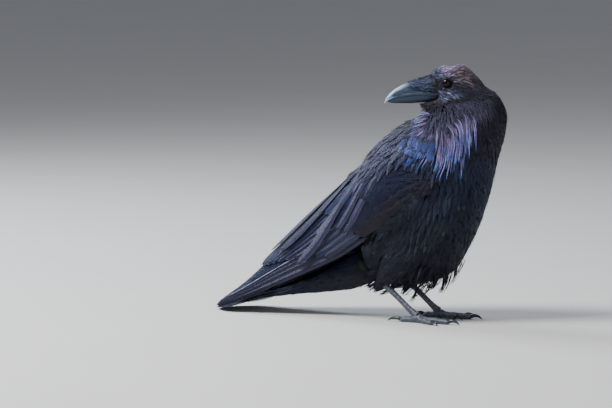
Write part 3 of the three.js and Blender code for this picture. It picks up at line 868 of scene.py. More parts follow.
def on_net(net, t, angle):
    """Value of a net at (t, angle), blended between its cells."""
    rows, columns = net.shape
    i, j = np.clip(t / BILL_ROW * (rows - 1), 0, rows - 1.001), angle / TURN * columns
    row, column = np.floor(i).astype(int), np.floor(j).astype(int)
    f, g = i - row, j - column
    near = net[row, column % columns] * (1 - g) + net[row, (column + 1) % columns] * g
    far = net[row + 1, column % columns] * (1 - g) + net[row + 1, (column + 1) % columns] * g
    return near * (1 - f) + far * f


COVERED = cover_net()
COVER = spread(spread(spread(COVERED, np.max), np.mean), np.mean)


def dressed_surface(t, angle, height):
    """The body with all that lies on it."""
    return core_surface(t, angle, height + on_net(COVER, t, angle))


# ---------------------------------------------------------------- lie of the coat
THROAT_POINT = core_surface(14.5, math.pi, 0)


def body_heading(p, out, pa, pb):
    """From the bill to the tail, fanning out from the throat over the neck."""
    down = -unit(pa)
    away = p - THROAT_POINT
    distance = np.linalg.norm(away, axis=-1)
    fan = unit(away - out * dot(away, out)[..., None])
    x, _, z = head_place(p)
    weight = (1.3 * np.exp(-((distance / 95) ** 2)) + 0.15) * (1 - smooth(2, 8, x) * smooth(-33, -29, z))
    turned = unit(down + fan * weight[..., None])
    return turned + np.cross(out, turned) * (0.16 * waves(p, 22, 9))[..., None]


def head_heading(p, out, pa, pb):
    """As on the body, but parted by the eyes."""
    lie = unit(body_heading(p, out, pa, pb))
    x, y, z = head_place(p)
    away = unit(p - in_head(0 * y, y, 0 * y))
    inward = np.maximum(-dot(lie, away), 0) * smooth(16, 8, np.hypot(x, z))
    return lie + away * (0.7 * inward)[..., None]


def core_place(t, angle):
    """Where a root lies on the unwrap of the body: slices along it, angle across it."""
    return unwrapped(t / BILL_ROW, (angle % TURN) / TURN)


# t, then length, half width and depth of the coat on the breast and nape side, and the same on the back and
# throat side.
COAT_ROWS = [
    [0, 32, 5, 5, 32, 5.5, 4.5],
    [3, 38, 5.8, 5.5, 36, 6, 4.5],
    [6, 38, 6, 5.5, 38, 6.2, 4.5],
    [9, 34, 5, 5, 34, 5.4, 4.5],
    [11, 28, 3.4, 5, 26, 4, 4],
    [14, 24, 1.8, 5, 15, 1.8, 3],
    [15.5, 18, 1.15, 4, 9, 1.1, 2.2],
    [18, 10, 0.9, 2.6, 6.5, 0.8, 1.6],
    [21, 6.5, 0.75, 1.8, 5, 0.7, 1.3],
    [23, 5, 0.65, 1.3, 5, 0.65, 1.3],
]


def coat_at(t, angle):
    """Length, half width and depth of the coat."""
    front = (1 + np.cos(angle)) / 2
    rows, *columns = np.transpose(COAT_ROWS)
    read = [np.interp(t, rows, column) for column in columns]
    return [read[k] * front + read[k + 3] * (1 - front) for k in range(3)]


def wing_place_of(p):
    """Nearest (s, t) of the wing's arm on the same side, for points of the body."""
    s, t = grid(np.linspace(0, 4, 81), np.linspace(0, 1, 41))
    tree = nearest_of(wing_surface(1)(s, t, ARM_LIFT).reshape(-1, 3))
    nearest = np.array([tree.find((x, abs(y), z))[1] for x, y, z in p])
    return s.ravel()[nearest], t.ravel()[nearest]


COVERED_FROM = 0.3  # mm by which a wing or thigh has to stand out to cover the body
# The body's feathers run over the wing below and above these shares of its breadth, up to this station.
WING_MARGINS, MARGIN_END = (0.07, 0.8), 3.3


def open_roots(t, angle, p):
    """Roots that no wing hides, with those that run over the wing's margins."""
    covered = on_net(COVERED, t, angle) > COVERED_FROM
    s, breadth = wing_place_of(p)
    margin = (s < MARGIN_END) & ((breadth < WING_MARGINS[0]) | (breadth > WING_MARGINS[1]))
    return ~covered | margin


def body_coat():
    """Contour feathers of trunk and neck, in front and behind."""
    u = np.linspace(0, 1, 8)
    for name, middle, material in (("breast", 0, DULL_PLUMAGE), ("mantle", math.pi, PLUMAGE)):
        spans = (0.3, 11.8), (middle - math.pi / 2, middle + math.pi / 2)
        t, angle, p = scatter(core_surface, *spans, lambda t, angle, p: 1.1 * coat_at(t, angle)[1])
        keep = open_roots(t, angle, p)
        t, angle, p = t[keep], angle[keep], p[keep]
        length, width, depth = coat_at(t, angle)
        length, width = length * rng.uniform(0.85, 1.15, len(t)), width * rng.uniform(0.85, 1.25, len(t))
        stand = rng.uniform(-0.3, 1.4, len(t))
        a, b, height = laid(dressed_surface, t, angle, body_heading, length, len(u), depth, 1.2, stand)
        tint = np.repeat(varied(body_tint(t, angle, p), 0.3)[:, None], len(u), 1)
        flecked = (rng.random(len(t)) < 0.03)[:, None] * smooth(0.7, 0.95, u)
        tint = tint + (FLECK - tint) * flecked[..., None]
        coat = Coat(name + "_feathers", material)
        coat.add(dressed_surface, a, b, width, height, LOOSE, tint, core_place(t, angle), ragged=0.45)
        coat.build()


# Stations along the wing and the share of its breadth above which the scapulars have their roots.
SCAPULAR_EDGE = [[0.2, 1.04], [0.4, 0.94], [0.9, 0.79], [1.15, 0.64], [1.6, 0.54], [2.7, 0.56]]


def scapulars():
    """Large loose feathers that lie from the back over the wing's upper edge."""
    t, angle, p = scatter(core_surface, (3.2, 9.6), (0, TURN), lambda t, angle, p: 8.0)
    s, breadth = wing_place_of(p)
    stations, shares = np.transpose(SCAPULAR_EDGE)
    above = (s > stations[0]) & (breadth > np.interp(s, stations, shares))
    keep = above & (s < 3.0) & (breadth < 0.98)
    t, angle, p = t[keep], angle[keep], p[keep]
    length, stand = rng.uniform(28, 40, len(t)), rng.uniform(0.6, 2.8, len(t))
    a, b, height = laid(dressed_surface, t, angle, body_heading, length, 9, 3.0, 1.0, stand, 0.8)
    tint = varied(mixed(body_tint(t, angle, p), MANTLE, 0.8), 0.35)
    coat = Coat("scapulars", PLUMAGE)
    width = rng.uniform(4.5, 7.5, len(t))
    coat.add(dressed_surface, a, b, width, height, LOOSE, tint, core_place(t, angle), ragged=0.25)
    coat.build()


def shoulder_patch():
    """Broad glossy feathers below the fan of hackles, painted blue from their middle on as sheen, dark brown
    at the tips of the lower ones.
    """
    coat = Coat("shoulder_patch", PLUMAGE)
    u = np.linspace(0, 1, 10)
    for side in (-1, 1):
        for row, spread_out, count, lift in ((8.7, (88, 120), 7, 1.4), (9.2, (92, 116), 6, 2.0)):
            angle = side * np.radians(np.linspace(*spread_out, count))
            t = row + rng.uniform(-0.12, 0.12, count)
            length, stand = rng.uniform(24, 28, count), rng.uniform(0, 0.5, count)
            a, b, height = laid(dressed_surface, t, angle, body_heading, length, len(u), 4, 0.8, stand, lift)
            tint = mixed(MANTLE, SCAPULAR, smooth(0.35, 0.6, u))
            tint = mixed(tint, DARK_BROWN, smooth(0.75, 0.95, u) * (0.9 if row < 9 else 0.5))
            tint = tint[None] * np.exp(rng.normal(0, 0.3, (count, 1, 1)))
            coat.add(
                dressed_surface, a, b, 5.5, height, ROUND, tint, core_place(t, angle),
                columns=7, camber=0.02, hand=-side, tilt=0.4, ragged=0.35,
            )
    coat.build()


def on_bill(p):
    """Whether points lie ahead of the face's line, where the bill and its bristles are."""
    x, _, z = head_place(p)
    line = np.array(FACE_LINE, float)
    return (x > np.interp(-z, -line[:, 1], line[:, 0])) & (z > line[-1, 1])


def eye_distance(p):
    """Distance from the nearer eye's axis."""
    x, _, z = head_place(p)
    return np.hypot(x, z)


FAN_ROW, FAN_ANGLE = 11.3, math.radians(112)  # where the hackles part, on each side of the neck
FAN_REACH = 34  # mm


def head_coat():
    """Short narrow tufts of the head and the neck behind it."""
    t, angle, p = scatter(
        core_surface, (11.2, 22.9), (0, TURN), lambda t, angle, p: 1.5 * coat_at(t, angle)[1], 140000
    )
    around = eye_distance(p)
    keep = (around > LID_REACH - 1.5) & ~on_bill(p) & (np.linalg.norm(p - THROAT_POINT, axis=-1) > 3)
    fan = core_surface(np.full(len(t), FAN_ROW), np.where(p[:, 1] < 0, -1, 1) * FAN_ANGLE, 0)
    keep &= (np.linalg.norm(p - fan, axis=-1) > FAN_REACH) | (t > FAN_ROW) | (rng.random(len(t)) < 0.4)
    t, angle, p, around = t[keep], angle[keep], p[keep], around[keep]
    length, width, depth = coat_at(t, angle)
    size = rng.uniform(0.8, 1.2, len(t)) * np.clip(around / 16, 0.5, 1)
    throat = np.exp(-((np.linalg.norm(p - THROAT_POINT, axis=-1) / 16) ** 2))
    overhang = 1.6 * np.exp(-(((t - HEAD_ROW - 0.6) / 0.7) ** 2))
    stand = rng.uniform(-0.3, 0.9, len(t)) * np.clip(around / 20, 0.2, 1) + overhang + 2.4 * throat
    layer = 0.5 * width
    a, b, height = laid(core_surface, t, angle, head_heading, length * size, 5, depth * 0.7, layer, stand)
    # Painted glints: about a fifth of the head's tufts are painted much lighter, the rest a little darker.
    speckle = np.where(rng.random(len(t)) < 0.22, 2.8, 0.75)[:, None]
    tint = varied(body_tint(t, angle, p), 0.4) * np.where((t > 16.5)[:, None], speckle, 1)
    for name, part in (("neck_tufts", t < HEAD_ROW), ("head_tufts", t >= HEAD_ROW)):
        coat = Coat(name, HAIRY)
        coat.add(
            core_surface, a[part], b[part], (width * size)[part], height[part], LANCE, tint[part],
            core_place(t, angle)[part], columns=3, camber=0.2, thick=0.2, keel=False,
        )
        coat.build()


def hackles():
    """Long pointed feathers that fan out from the side of the throat over neck and breast."""
    coat = Coat("throat_hackles", HACKLE_PLUMAGE)
    for side in (-1, 1):
        centre = core_surface(FAN_ROW, side * FAN_ANGLE, 0)

        def heading(p, out, pa, pb):
            away = p - centre
            near = np.exp(-((np.linalg.norm(away, axis=-1) / 38) ** 2))[..., None]
            line = unit(unit(away - out * dot(away, out)[..., None]) * (near + 0.3) - unit(pa) * (1 - near))
            return line + np.cross(out, line) * (0.14 * waves(p, 14, 17))[..., None]

        span = sorted((side * 0.4, side * 3.1))
        t, angle, p = scatter(core_surface, (8.8, 12.7), span, lambda t, angle, p: 2.9)
        _, _, pa, pb = tangents(core_surface, t, angle)
        away = p - centre
        far = np.linalg.norm(away, axis=-1)
        forward = -side * dot(away, unit(pb))
        reach = FAN_REACH * (1 + 0.7 * smooth(0, 30, forward)) * rng.uniform(0.6, 1, len(t))
        below = dot(away, -unit(pa)) > np.where(forward > 6, -0.5, -0.08) * far
        keep = (far < reach) & below & ((t < FAN_ROW + 0.5) | (forward > 8))
        t, angle = t[keep], angle[keep]
        length = rng.uniform(26, 50, len(t)) * (0.4 + 0.6 * smooth(-14, 2, forward[keep]))
        u = np.linspace(0, 1, 10)
        stand = rng.uniform(0.4, 2.4, len(t))
        a, b, height = laid(dressed_surface, t, angle, heading, length, len(u), 3.0, 1.0, stand, 0.8)
        along = mixed(HACKLE_BASE, HACKLE_MIDDLE, smooth(0.1, 0.55, u))
        along = mixed(along, HACKLE_TIP, smooth(0.7, 0.95, u))[None]
        tint = along * np.exp(rng.normal(0, 0.6, (len(t), 1, 1)).clip(-1.5, 1.0))
        tint = tint * (1 + 0.5 * smooth(-5, 15, forward[keep]))[:, None, None]
        width, place = rng.uniform(0.9, 2.4, len(t)), core_place(t, angle)
        coat.add(dressed_surface, a, b, width, height, LOOSE, tint, place, camber=0.08, ragged=0.4)
    coat.build()


# ---------------------------------------------------------------- wings
def wing_place(s, t):
    """Where a root lies on the unwrap of the wing."""
    return unwrapped(s / (len(WING_STATIONS) - 1), np.clip(t, 0, 1))


def aft(p, out, pa, pb):
    """Along the wing to its tip."""
    return unit(pa) + unit(pb) * (0.06 + 0.08 * waves(p, 30, 12))[..., None]


def painted_covert_sheen(t):
    """Painted sheen: the upper coverts are painted lighter and blue, and the lower ones stay dark."""
    return np.array([0.72, 0.74, 0.76]) + smooth(0.3, 0.7, t)[:, None] * [1.0, 1.1, 1.4]


ROW_COVERTS = 12
# Rows of longer coverts: root station, station of the lowest and the highest tip, half width, height.
COVERT_ROWS = ((2.2, 3.2, 3.6, 9.5, 4.8), (2.7, 4.1, 4.7, 10.5, 4.6))


def wing_coverts(word, side):
    """Small coverts in front, then rows of longer ones up to the flight feathers."""
    surface = wing_surface(side)
    coat = Coat(f"wing_coverts_{word}", DULL_PLUMAGE)
    s, t, p = scatter(surface, (0.1, 3.0), (0.0, 0.95), lambda s, t, p: 4.2 + 1.9 * s, 30000)
    _, out, _, _ = tangents(surface, s, t, ARM_LIFT)
    keep = ~under_trunk(surface(s, t, ARM_LIFT), out, 25)
    s, t, p = s[keep], t[keep], p[keep]
    length, stand = (14 + 6 * s) * rng.uniform(0.9, 1.1, len(s)), rng.uniform(0, 0.2, len(s))
    a, b, height = laid(surface, s, t, aft, length, 8, 1.5, 0.6, stand, ARM_LIFT)
    tint = varied(patched(even(COVERTS, len(s)), surface(s, t, ARM_LIFT)), 0.15)
    tint = mixed(tint, DARK_BROWN, smooth(0.25, 0.05, t) * 0.8) * painted_covert_sheen(t)
    style = {"wrap": True, "hand": side, "thick": 0.05, "keel": False}
    coat.add(
        surface, a, b, 4.0 + 1.8 * s, height, LOOSE, tint, wing_place(s, t),
        columns=7, camber=0.01, tilt=0.1, ragged=0.5, **style,
    )
    u = np.linspace(0, 1, 14)
    t0 = np.linspace(0.08, 0.9, ROW_COVERTS)
    for root, low_tip, high_tip, half, lift in COVERT_ROWS:
        end = np.linspace(low_tip, high_tip, ROW_COVERTS) + rng.uniform(-0.06, 0.06, ROW_COVERTS)
        a = root + (end - root)[:, None] * u
        b = t0[:, None] + 0.03 * u
        height = lift - 1.6 * (1 - u)[None] ** 1.5 + np.linspace(0, 0.5, ROW_COVERTS)[:, None] * u
        tint = mixed(varied(even(COVERTS, ROW_COVERTS), 0.15), BROWN, smooth(0.24, 0.1, t0) * 0.8)
        coat.add(
            surface, a, b, half, height, ROUND, tint * painted_covert_sheen(t0), wing_place(a[:, 0], t0),
            columns=9, camber=0.004, tilt=0.15, ragged=0.3, **style,
        )
    coat.build()


FLIGHT_STATIONS = 30
VANE_STYLE = {"columns": 9, "thick": 0.35, "ragged": 0.05}
# (s, t) of the tip of each flight feather, from the lowest to the highest.
PRIMARY_TIPS = (
    (8.0, 0.12), (7.95, 0.3), (7.8, 0.42), (7.6, 0.5), (7.35, 0.56),
    (7.1, 0.6), (6.9, 0.64), (6.7, 0.68), (6.5, 0.72), (6.3, 0.76),
)
SECONDARY_TIPS = (
    (5.0, 0.1), (5.2, 0.17), (5.4, 0.25), (5.6, 0.33), (5.8, 0.41), (6.0, 0.49),
    (6.15, 0.57), (6.3, 0.65), (6.4, 0.73), (6.45, 0.82), (6.4, 0.9),
)
TERTIAL_TIPS = ((4.26, 0.2), (4.36, 0.28), (4.9, 0.4), (5.6, 0.14), (5.9, 0.64), (6.1, 0.97))


def lay_flight(coat, side, roots, tips, widths, heights, colour, narrow, brown=0.0, column=0.0):
    """Flight feathers from the lowest to the highest, one for each of tips. roots, widths and heights are
    each a few values on the way from the first feather to the last, which are blended."""
    count = len(tips)
    k = np.linspace(0, 1, count)

    def along(values):
        return np.interp(k, np.linspace(0, 1, len(values)), values)

    s0, t0 = (along(values) for values in zip(*roots))
    s1, t1 = np.transpose(tips)
    u = np.linspace(0, 1, FLIGHT_STATIONS)
    a = s0[:, None] + (s1 - s0)[:, None] * u
    b = t0[:, None] + (t1 - t0)[:, None] * u**1.2
    tint = mixed(varied(even(colour, count), 0.2), BROWN, brown * (1 - k))
    shade = 1 - 0.3 * smooth(0.7, 1.0, u) + 0.25 * np.exp(-(((u - 0.9) / 0.05) ** 2))
    tint = tint[:, None] * shade[None, :, None]
    place = np.stack([column + 0.02 + 0.46 * (np.arange(count) + 0.5) / count, np.full(count, 0.5)], -1)
    height = along(heights)[:, None] + 0 * a
    coat.add(
        wing_surface(side), a, b, along(widths), height, FLIGHT, tint, place, wrap=True, narrow=narrow,
        hand=side, edge=1.6, patch=(0.42 / count, 0.94), **VANE_STYLE,
    )
    return a, b, height


def flight_feathers(word, side):
    """Primaries, secondaries and tertials of a folded wing, each lying over the one below it."""
    coat = Coat(f"primary_feathers_{word}", FLIGHT_VANES, "flight")
    roots = ((3.9, 0.06), (4.5, 0.7))
    a, b, height = lay_flight(
        coat, side, roots, PRIMARY_TIPS, (7.5, 10), (-1.6, 0.9), PRIMARIES, narrow=0.6, brown=0.5
    )
    if side < 0:  # one primary's shaft shows white
        shaft = slice(3, 4)
        p, out, _, _ = tangents(wing_surface(side), a[shaft], b[shaft])
        coat.strips(
            p, out, across(p, out), 0.45, height[shaft] + 0.4, FLIGHT, SHAFT[None], [(0.75, 0.5)],
            columns=3, thick=0.3,
        )
    coat.build([f"primaries_{word}"])

    coat = Coat(f"secondary_feathers_{word}", FLIGHT_VANES, "flight")
    roots = ((3.1, 0.14), (3.7, 0.84))
    lay_flight(coat, side, roots, SECONDARY_TIPS, (9, 12), (1.2, 3.4), SECONDARIES, narrow=0.5, brown=0.4)
    roots, widths = ((2.2, 0.48), (2.7, 1.0)), (5, 5, 6, 6.5, 8, 8)
    heights = (4.8, 5.4, 6, 6.8, 7, 7.2)
    lay_flight(coat, side, roots, TERTIAL_TIPS, widths, heights, MANTLE, narrow=0.9, column=0.5)
    coat.build([f"secondaries_{word}"])


# ---------------------------------------------------------------- tail and rump
def tail_feathers():
    """Six pairs, the middle one on top."""
    coat = Coat("tail_feathers", FLIGHT_VANES, "flight")
    k = np.repeat(np.arange(6), 2)
    hand = np.tile([-1, 1], 6)
    v = 0.5 + hand * (0.035 + 0.077 * k)
    reach = 1 - (TAIL_WEDGE / TAIL_LENGTH) * np.abs(2 * v - 1) ** 1.7
    u = np.linspace(0, 1, FLIGHT_STATIONS)
    first = 1.2  # row of the tail's table where the feathers start
    a = first + (reach[:, None] * (len(TAIL_ROWS) - 1) - first) * u
    b = 0.5 + (v - 0.5)[:, None] * (0.55 + 0.45 * u)
    height = 0.4 - 0.42 * k[:, None] - 0.25 * (hand[:, None] > 0) + 0 * a
    tint = varied(even(TAIL, len(k)), 0.15)[:, None] * (1 - 0.4 * smooth(0.7, 1, u))[None, :, None]
    place = np.stack([(np.arange(len(k)) + 0.5) / len(k), np.full(len(k), 0.5)], -1)
    for side in (-1, 1):
        part = hand == side
        coat.add(
            tail_surface, a[part], b[part], 12.0, height[part], FLIGHT, tint[part], place[part], narrow=0.85,
            hand=side, edge=1.0, patch=(0.9 / len(k), 0.94), **VANE_STYLE,
        )
    coat.build(["tail"])


def rump_coverts():
    """Feathers over the root of the tail."""
    t, angle, p = scatter(rump_surface, (0.1, 3.6), (0, TURN), lambda t, angle, p: 7.0, 20000)
    _, out, _, _ = tangents(rump_surface, t, angle)
    keep = ~under_trunk(p, out, 25)
    t, angle = t[keep], angle[keep]
    length, stand = rng.uniform(30, 46, len(t)), rng.uniform(-0.6, 0.5, len(t))
    a, b, height = laid(rump_surface, t, angle, aft, length, 8, 3.0, 1.4, stand)
    # Painted shade: the upper side takes half the mantle's colour, under the folded wings; the lower side the
    # belly's.
    tint = varied(mixed(BELLY, MANTLE * 0.5, smooth(-0.2, 0.6, np.sin(angle))), 0.25)
    place = np.stack([0.02 + 0.9 * t / 4, 0.02 + 0.96 * angle / TURN], -1)
    coat = Coat("tail_coverts", DULL_PLUMAGE)
    coat.add(rump_surface, a, b, rng.uniform(5.5, 8, len(t)), height, ROUND, tint, place, ragged=0.35)
    coat.build()


def back_feathers():
    """Feathers of the lower back, under the folded wings, painted darker there as shade."""
    t, angle, _ = scatter(back_surface, (0.2, 4.7), (0.6, math.pi - 0.6), lambda t, angle, p: 6.0, 20000)
    length, stand = rng.uniform(26, 40, len(t)), rng.uniform(0, 1.2, len(t))
    a, b, height = laid(back_surface, t, angle, aft, length, 8, 2.5, 1.2, stand)
    place = unwrapped(t / 5, angle / TURN)
    coat = Coat("back_feathers", DULL_PLUMAGE)
    # Painted shade: half the mantle's colour, under the folded wings.
    width, tint = rng.uniform(5, 7, len(t)), varied(even(MANTLE * 0.5, len(t)))
    coat.add(back_surface, a, b, width, height, ROUND, tint, place, ragged=0.35)
    coat.build()


# ---------------------------------------------------------------- thighs and belly fringe
def thigh_coat(word, side):
    """The loose feathers of a thigh."""
    surface = tube_surface(THIGH_ROWS, side)
    t, angle, p = scatter(surface, (0.4, 3.9), (0, TURN), lambda t, angle, p: 4.4 - 0.5 * t, 20000)
    _, out, _, _ = tangents(surface, t, angle)
    keep = ~under_trunk(p, out, 30)
    t, angle = t[keep], angle[keep]
    length, stand = (25 - 2.2 * t) * rng.uniform(0.8, 1.2, len(t)), rng.uniform(-0.3, 1.6, len(t))
    a, b, height = laid(surface, t, angle, aft, length, 6, 3.5 - 0.7 * t, 0.9, stand)
    tint = varied(even(BELLY * 1.1, len(t)), 0.3)
    coat = Coat(f"thigh_feathers_{word}", DULL_PLUMAGE)
    width = (3.8 - 0.6 * t) * rng.uniform(0.8, 1.1, len(t))
    coat.add(surface, a, b, width, height, LOOSE, tint, unwrapped(t / 4, angle / TURN), ragged=0.4)
    coat.build()


FRINGE_STRANDS = 9


def belly_fringe():
    """Locks of loose feathers that hang from the lower edge of the belly."""
    t, angle, p = scatter(core_surface, (0.8, 4.4), (-1.2, 1.2), lambda t, angle, p: 13.0, 20000)
    p, out, pa, _ = tangents(core_surface, t, angle)
    low = out[:, 2] < -0.35
    p, out, t, angle = p[low], out[low], t[low], angle[low]
    lie = unit(unit(-pa[low]) * 0.8 + out * 0.25 + [0, 0, -0.35] + rng.normal(0, 0.18, p.shape))
    tips = p + lie * rng.uniform(16, 34, (len(p), 1))
    count = len(p)
    repeat = np.repeat(np.arange(count), FRINGE_STRANDS)
    start = p[repeat] + rng.normal(0, 3.2, (len(repeat), 3)) - out[repeat] * 2.5
    end = tips[repeat] + rng.normal(0, 1.5, (len(repeat), 3))
    u = np.linspace(0, 1, 6)[None, :, None]
    line = start[:, None] + (end - start)[:, None] * u + out[repeat][:, None] * (4 * u * (1 - u)) * 2.0
    line[..., 2] = np.maximum(line[..., 2], 1.0)
    normal = np.repeat(out[repeat][:, None], 6, 1)
    tint = varied(even(BELLY, len(repeat)), 0.3)
    coat = Coat("belly_fringe", DULL_PLUMAGE)
    width, height = rng.uniform(1.1, 2.4, len(repeat)), np.zeros(line.shape[:2])
    place = core_place(t, angle)[repeat]
    coat.strips(line, normal, across(line, normal), width, height, LOOSE, tint, place, ragged=0.4)
    coat.build()


def nasal_bristles():
    """Stiff bristles that lie forwards over the root of the bill."""
    t, angle, _ = scatter(hood_surface, (0.0, 3.2), (0.02, math.pi - 0.02), lambda t, angle, p: 1.45, 20000)

    def forward(p, out, pa, pb):
        return unit(pa) + np.array([0, 0, -0.2]) + unit(pb) * (0.35 * waves(p, 7, 51))[..., None]

    length, stand = rng.uniform(9, 16, len(t)), rng.uniform(0.0, 1.3, len(t))
    a, b, height = laid(hood_surface, t, angle, forward, length, 6, 1.5, 0.5, stand, 0.3)
    tint = varied(mixed(LORES, BRISTLE * 0.85, smooth(0.1, 1.1, t)), 0.55)
    place = np.stack([0.05 + 0.9 * t / 4, 0.05 + 0.9 * angle / math.pi], -1)
    coat = Coat("nasal_bristles", HAIRY)
    width = rng.uniform(0.45, 0.8, len(t))
    coat.add(
        hood_surface, a, b, width, height, LANCE, tint, place, columns=3, camber=0.3, thick=0.3, keel=False
    )
    coat.build()


# ---------------------------------------------------------------- skin
FLESH = ["trunk", "neck", "head"] + [f"{part}_{word}" for part in ("wing", "thigh") for word in SIDES]


def capped(rings):
    """Points and triangles of a closed tube through (rows, columns, 3) rings."""
    rows, columns = rings.shape[:2]
    faces = [round_faces(rows, columns)]
    points = [rings.reshape(-1, 3), rings[0].mean(0)[None], rings[-1].mean(0)[None]]
    c = np.arange(columns)
    after = (c + 1) % columns
    start, end = rows * columns, rows * columns + 1
    faces.append(np.stack([np.full(columns, start), c, after], -1))
    faces.append(np.stack([np.full(columns, end), after + start - columns, c + start - columns], -1))
    return np.concatenate(points), np.concatenate(faces)


def outward(points, faces):
    """The same triangles, turned to face out."""
    a, b, c = (points[faces[:, k]] for k in range(3))
    volume = dot(np.cross(a, b), c).sum()
    return faces[:, ::-1] if volume < 0 else faces


def hidden_form(name, surface, last):
    """A closed body of flesh under the folded wings."""
    points, faces = capped(surface(*grid(np.linspace(0, last, 24), directions(32)), -1.0))
    return placed(name, mesh_from(name, to_row(points), outward(points, faces)))


SKIN_VOXEL = 0.0018  # metres
SKIN_SMOOTHING = 6
SKIN_SHADE = 0.7  # its markings against those of the coat
RUMP_END = 3.4  # row of the tail's table where the flesh ends
SKIN_DEPTH, LIMB_DEPTH = 4.0, 1.4  # mm; how far the skin lies inside the trunk, and inside wings and thighs


def skin():
    """One closed skin through all the flesh, drawn in by the depth of the coat."""
    parts = [placed(node + "_copy", NODES[node].data.copy()) for node in FLESH]
    parts.append(hidden_form("rump_form", rump_surface, RUMP_END))
    parts.append(hidden_form("back_form", back_surface, len(BACK_ROWS) - 1))
    chosen = {"selected_editable_objects": parts, "selected_objects": parts}
    with bpy.context.temp_override(active_object=parts[0], **chosen):
        bpy.ops.object.join()
    body = parts[0]
    remesh = body.modifiers.new("remesh", "REMESH")
    remesh.mode, remesh.voxel_size = "VOXEL", SKIN_VOXEL
    soften = body.modifiers.new("soften", "SMOOTH")
    soften.factor, soften.iterations = 0.5, SKIN_SMOOTHING
    bpy.context.view_layer.update()
    graph = bpy.context.evaluated_depsgraph_get()
    mesh = bpy.data.meshes.new_from_object(body.evaluated_get(graph))
    bpy.data.objects.remove(body)
    points = np.zeros(len(mesh.vertices) * 3, np.float32)
    normals = np.zeros(len(mesh.vertices) * 3, np.float32)
    mesh.vertices.foreach_get("co", points)
    mesh.vertices.foreach_get("normal", normals)
    points, normals = points.reshape(-1, 3).astype(float), normals.reshape(-1, 3)
    t, angle, distance = on_core(from_row(points))
    depth = np.minimum(coat_at(t, angle)[2], SKIN_DEPTH)
    depth = depth + (LIMB_DEPTH - depth) * smooth(1.5, 4.5, distance)
    points -= normals * (depth * MM)[:, None]
    mesh.vertices.foreach_set("co", points.astype(np.float32).ravel())
    mesh.materials.clear()
    paint(mesh, body_tint(t, angle, from_row(points)) * SKIN_SHADE)
    mesh.polygons.foreach_set("use_smooth", np.ones(len(mesh.polygons), bool))
    mesh.update()
    piece("skin", mesh, SKIN, "plumage", FLESH)


def on_core(p):
    """Nearest slice and angle of the body for each point, and how far off it lies."""
    t, angle = (values.ravel() for values in grid(np.linspace(0, BILL_ROW, 140), directions(72)))
    tree = nearest_of(core_surface(t, angle, 0))
    found = [tree.find(co) for co in p]
    nearest = [index for _, index, _ in found]
    return t[nearest], angle[nearest], np.array([far for _, _, far in found])


# ---------------------------------------------------------------- bill, eyes, legs
def tube_piece(name, rings, material, slot, tint, node):
    """A closed smooth tube in place of a node, with nothing below the floor; tint is one number for each ring
    point."""
    rings[..., 2] = np.maximum(rings[..., 2], 0)
    points, faces = capped(rings)
    mesh = mesh_from(name, to_row(points), outward(points, faces))
    flat = np.concatenate([np.asarray(tint, float).ravel(), [np.mean(tint[0]), np.mean(tint[-1])]])
    paint(mesh, np.repeat(flat[:, None], 3, 1))
    piece(name, mesh, material, slot, [node])


def bill_half(name, rows, node):
    """Upper or lower half of the bill: an arch over its cutting edge, with a rounded rim."""
    t = np.linspace(0, len(rows) - 1, 90)
    angle = directions(56)
    x, ridge, edge, half = (v[:, None] for v in np.moveaxis(between(rows, t), -1, 0))
    over = np.sin(angle)[None] > 0
    y = bend(np.cos(angle), 0.92)[None] * half
    arch = np.abs(np.sin(angle))[None] ** 0.85
    rim = 0.35 * np.exp(-(((arch - 0.16) / 0.07) ** 2)) * np.minimum(half / 6, 1)
    y = y + np.sign(y) * rim * over
    z = edge + np.where(over, (ridge - edge) * arch, -np.sign(ridge - edge) * 0.4 * arch)
    # Painted highlights: two pale lines along each cutting edge, and on the upper half a pale culmen towards
    # the tip and a pale tip. The lower half is painted darker as shade. Only the outer faces take these
    # marks.
    line_low = np.exp(-(((arch - 0.2) / 0.05) ** 2))
    line_high = np.exp(-(((arch - 0.45) / 0.05) ** 2)) * smooth(64, 50, x)
    paleness = 0.12 + 0.8 * line_low + 0.6 * line_high
    if ridge[0] > edge[0]:
        paleness = paleness + smooth(30, 72, x) * smooth(0.5, 0.95, arch) + 0.7 * smooth(64, 78, x)
    else:
        paleness = paleness * 0.6
    tube_piece(name, in_head(x + 0 * y, y, z), BILL_HORN, "horn", paleness * over, node)


def eye(word, side):
    centre = in_head(0, side * EYE_SIDE, 0)
    axis = unit(in_head(0, side * (EYE_SIDE + 1), 0) - centre)
    polar, turn = grid(np.linspace(0.02, math.pi - 0.02, 40), directions(64))
    up = np.array([0, 0, 1.0])
    ahead = np.cross(up, axis)
    bulge = 1 + 0.045 * np.exp(-((polar / 0.45) ** 2))
    ring = np.sin(polar)[..., None] * (ahead * np.cos(turn)[..., None] + up * np.sin(turn)[..., None])
    rings = centre + EYE_RADIUS * bulge[..., None] * (ring + axis * np.cos(polar)[..., None])
    material = eye_material(f"eye_{word}", to_row(centre), axis)
    tube_piece(f"eyeball_{word}", rings, material, "eye", np.ones(polar.shape), f"eye_{word}")
    lids(word, centre, axis, ahead * np.sign(dot(ahead, in_head(1, 0, 0) - in_head(0, 0, 0))), up)


LID_WIDTH, LID_HEIGHT = 6.2, 5.5  # half sizes of the opening
LID_REACH = 7.9  # how far from the eye's axis the lids' bare skin goes
# The lids' section: how far outside the opening and over the eyeball, then the outer edge as its distance
# from the eye's axis and over the head.
LID_RIM = [[0.5, -0.8], [0, 0.15], [0.3, 0.65], [0.9, 0.75], [1.5, 0.45]]
LID_EDGE = [[8.4, -1.2], [10.4, -2.8], [9.2, -4.2]]


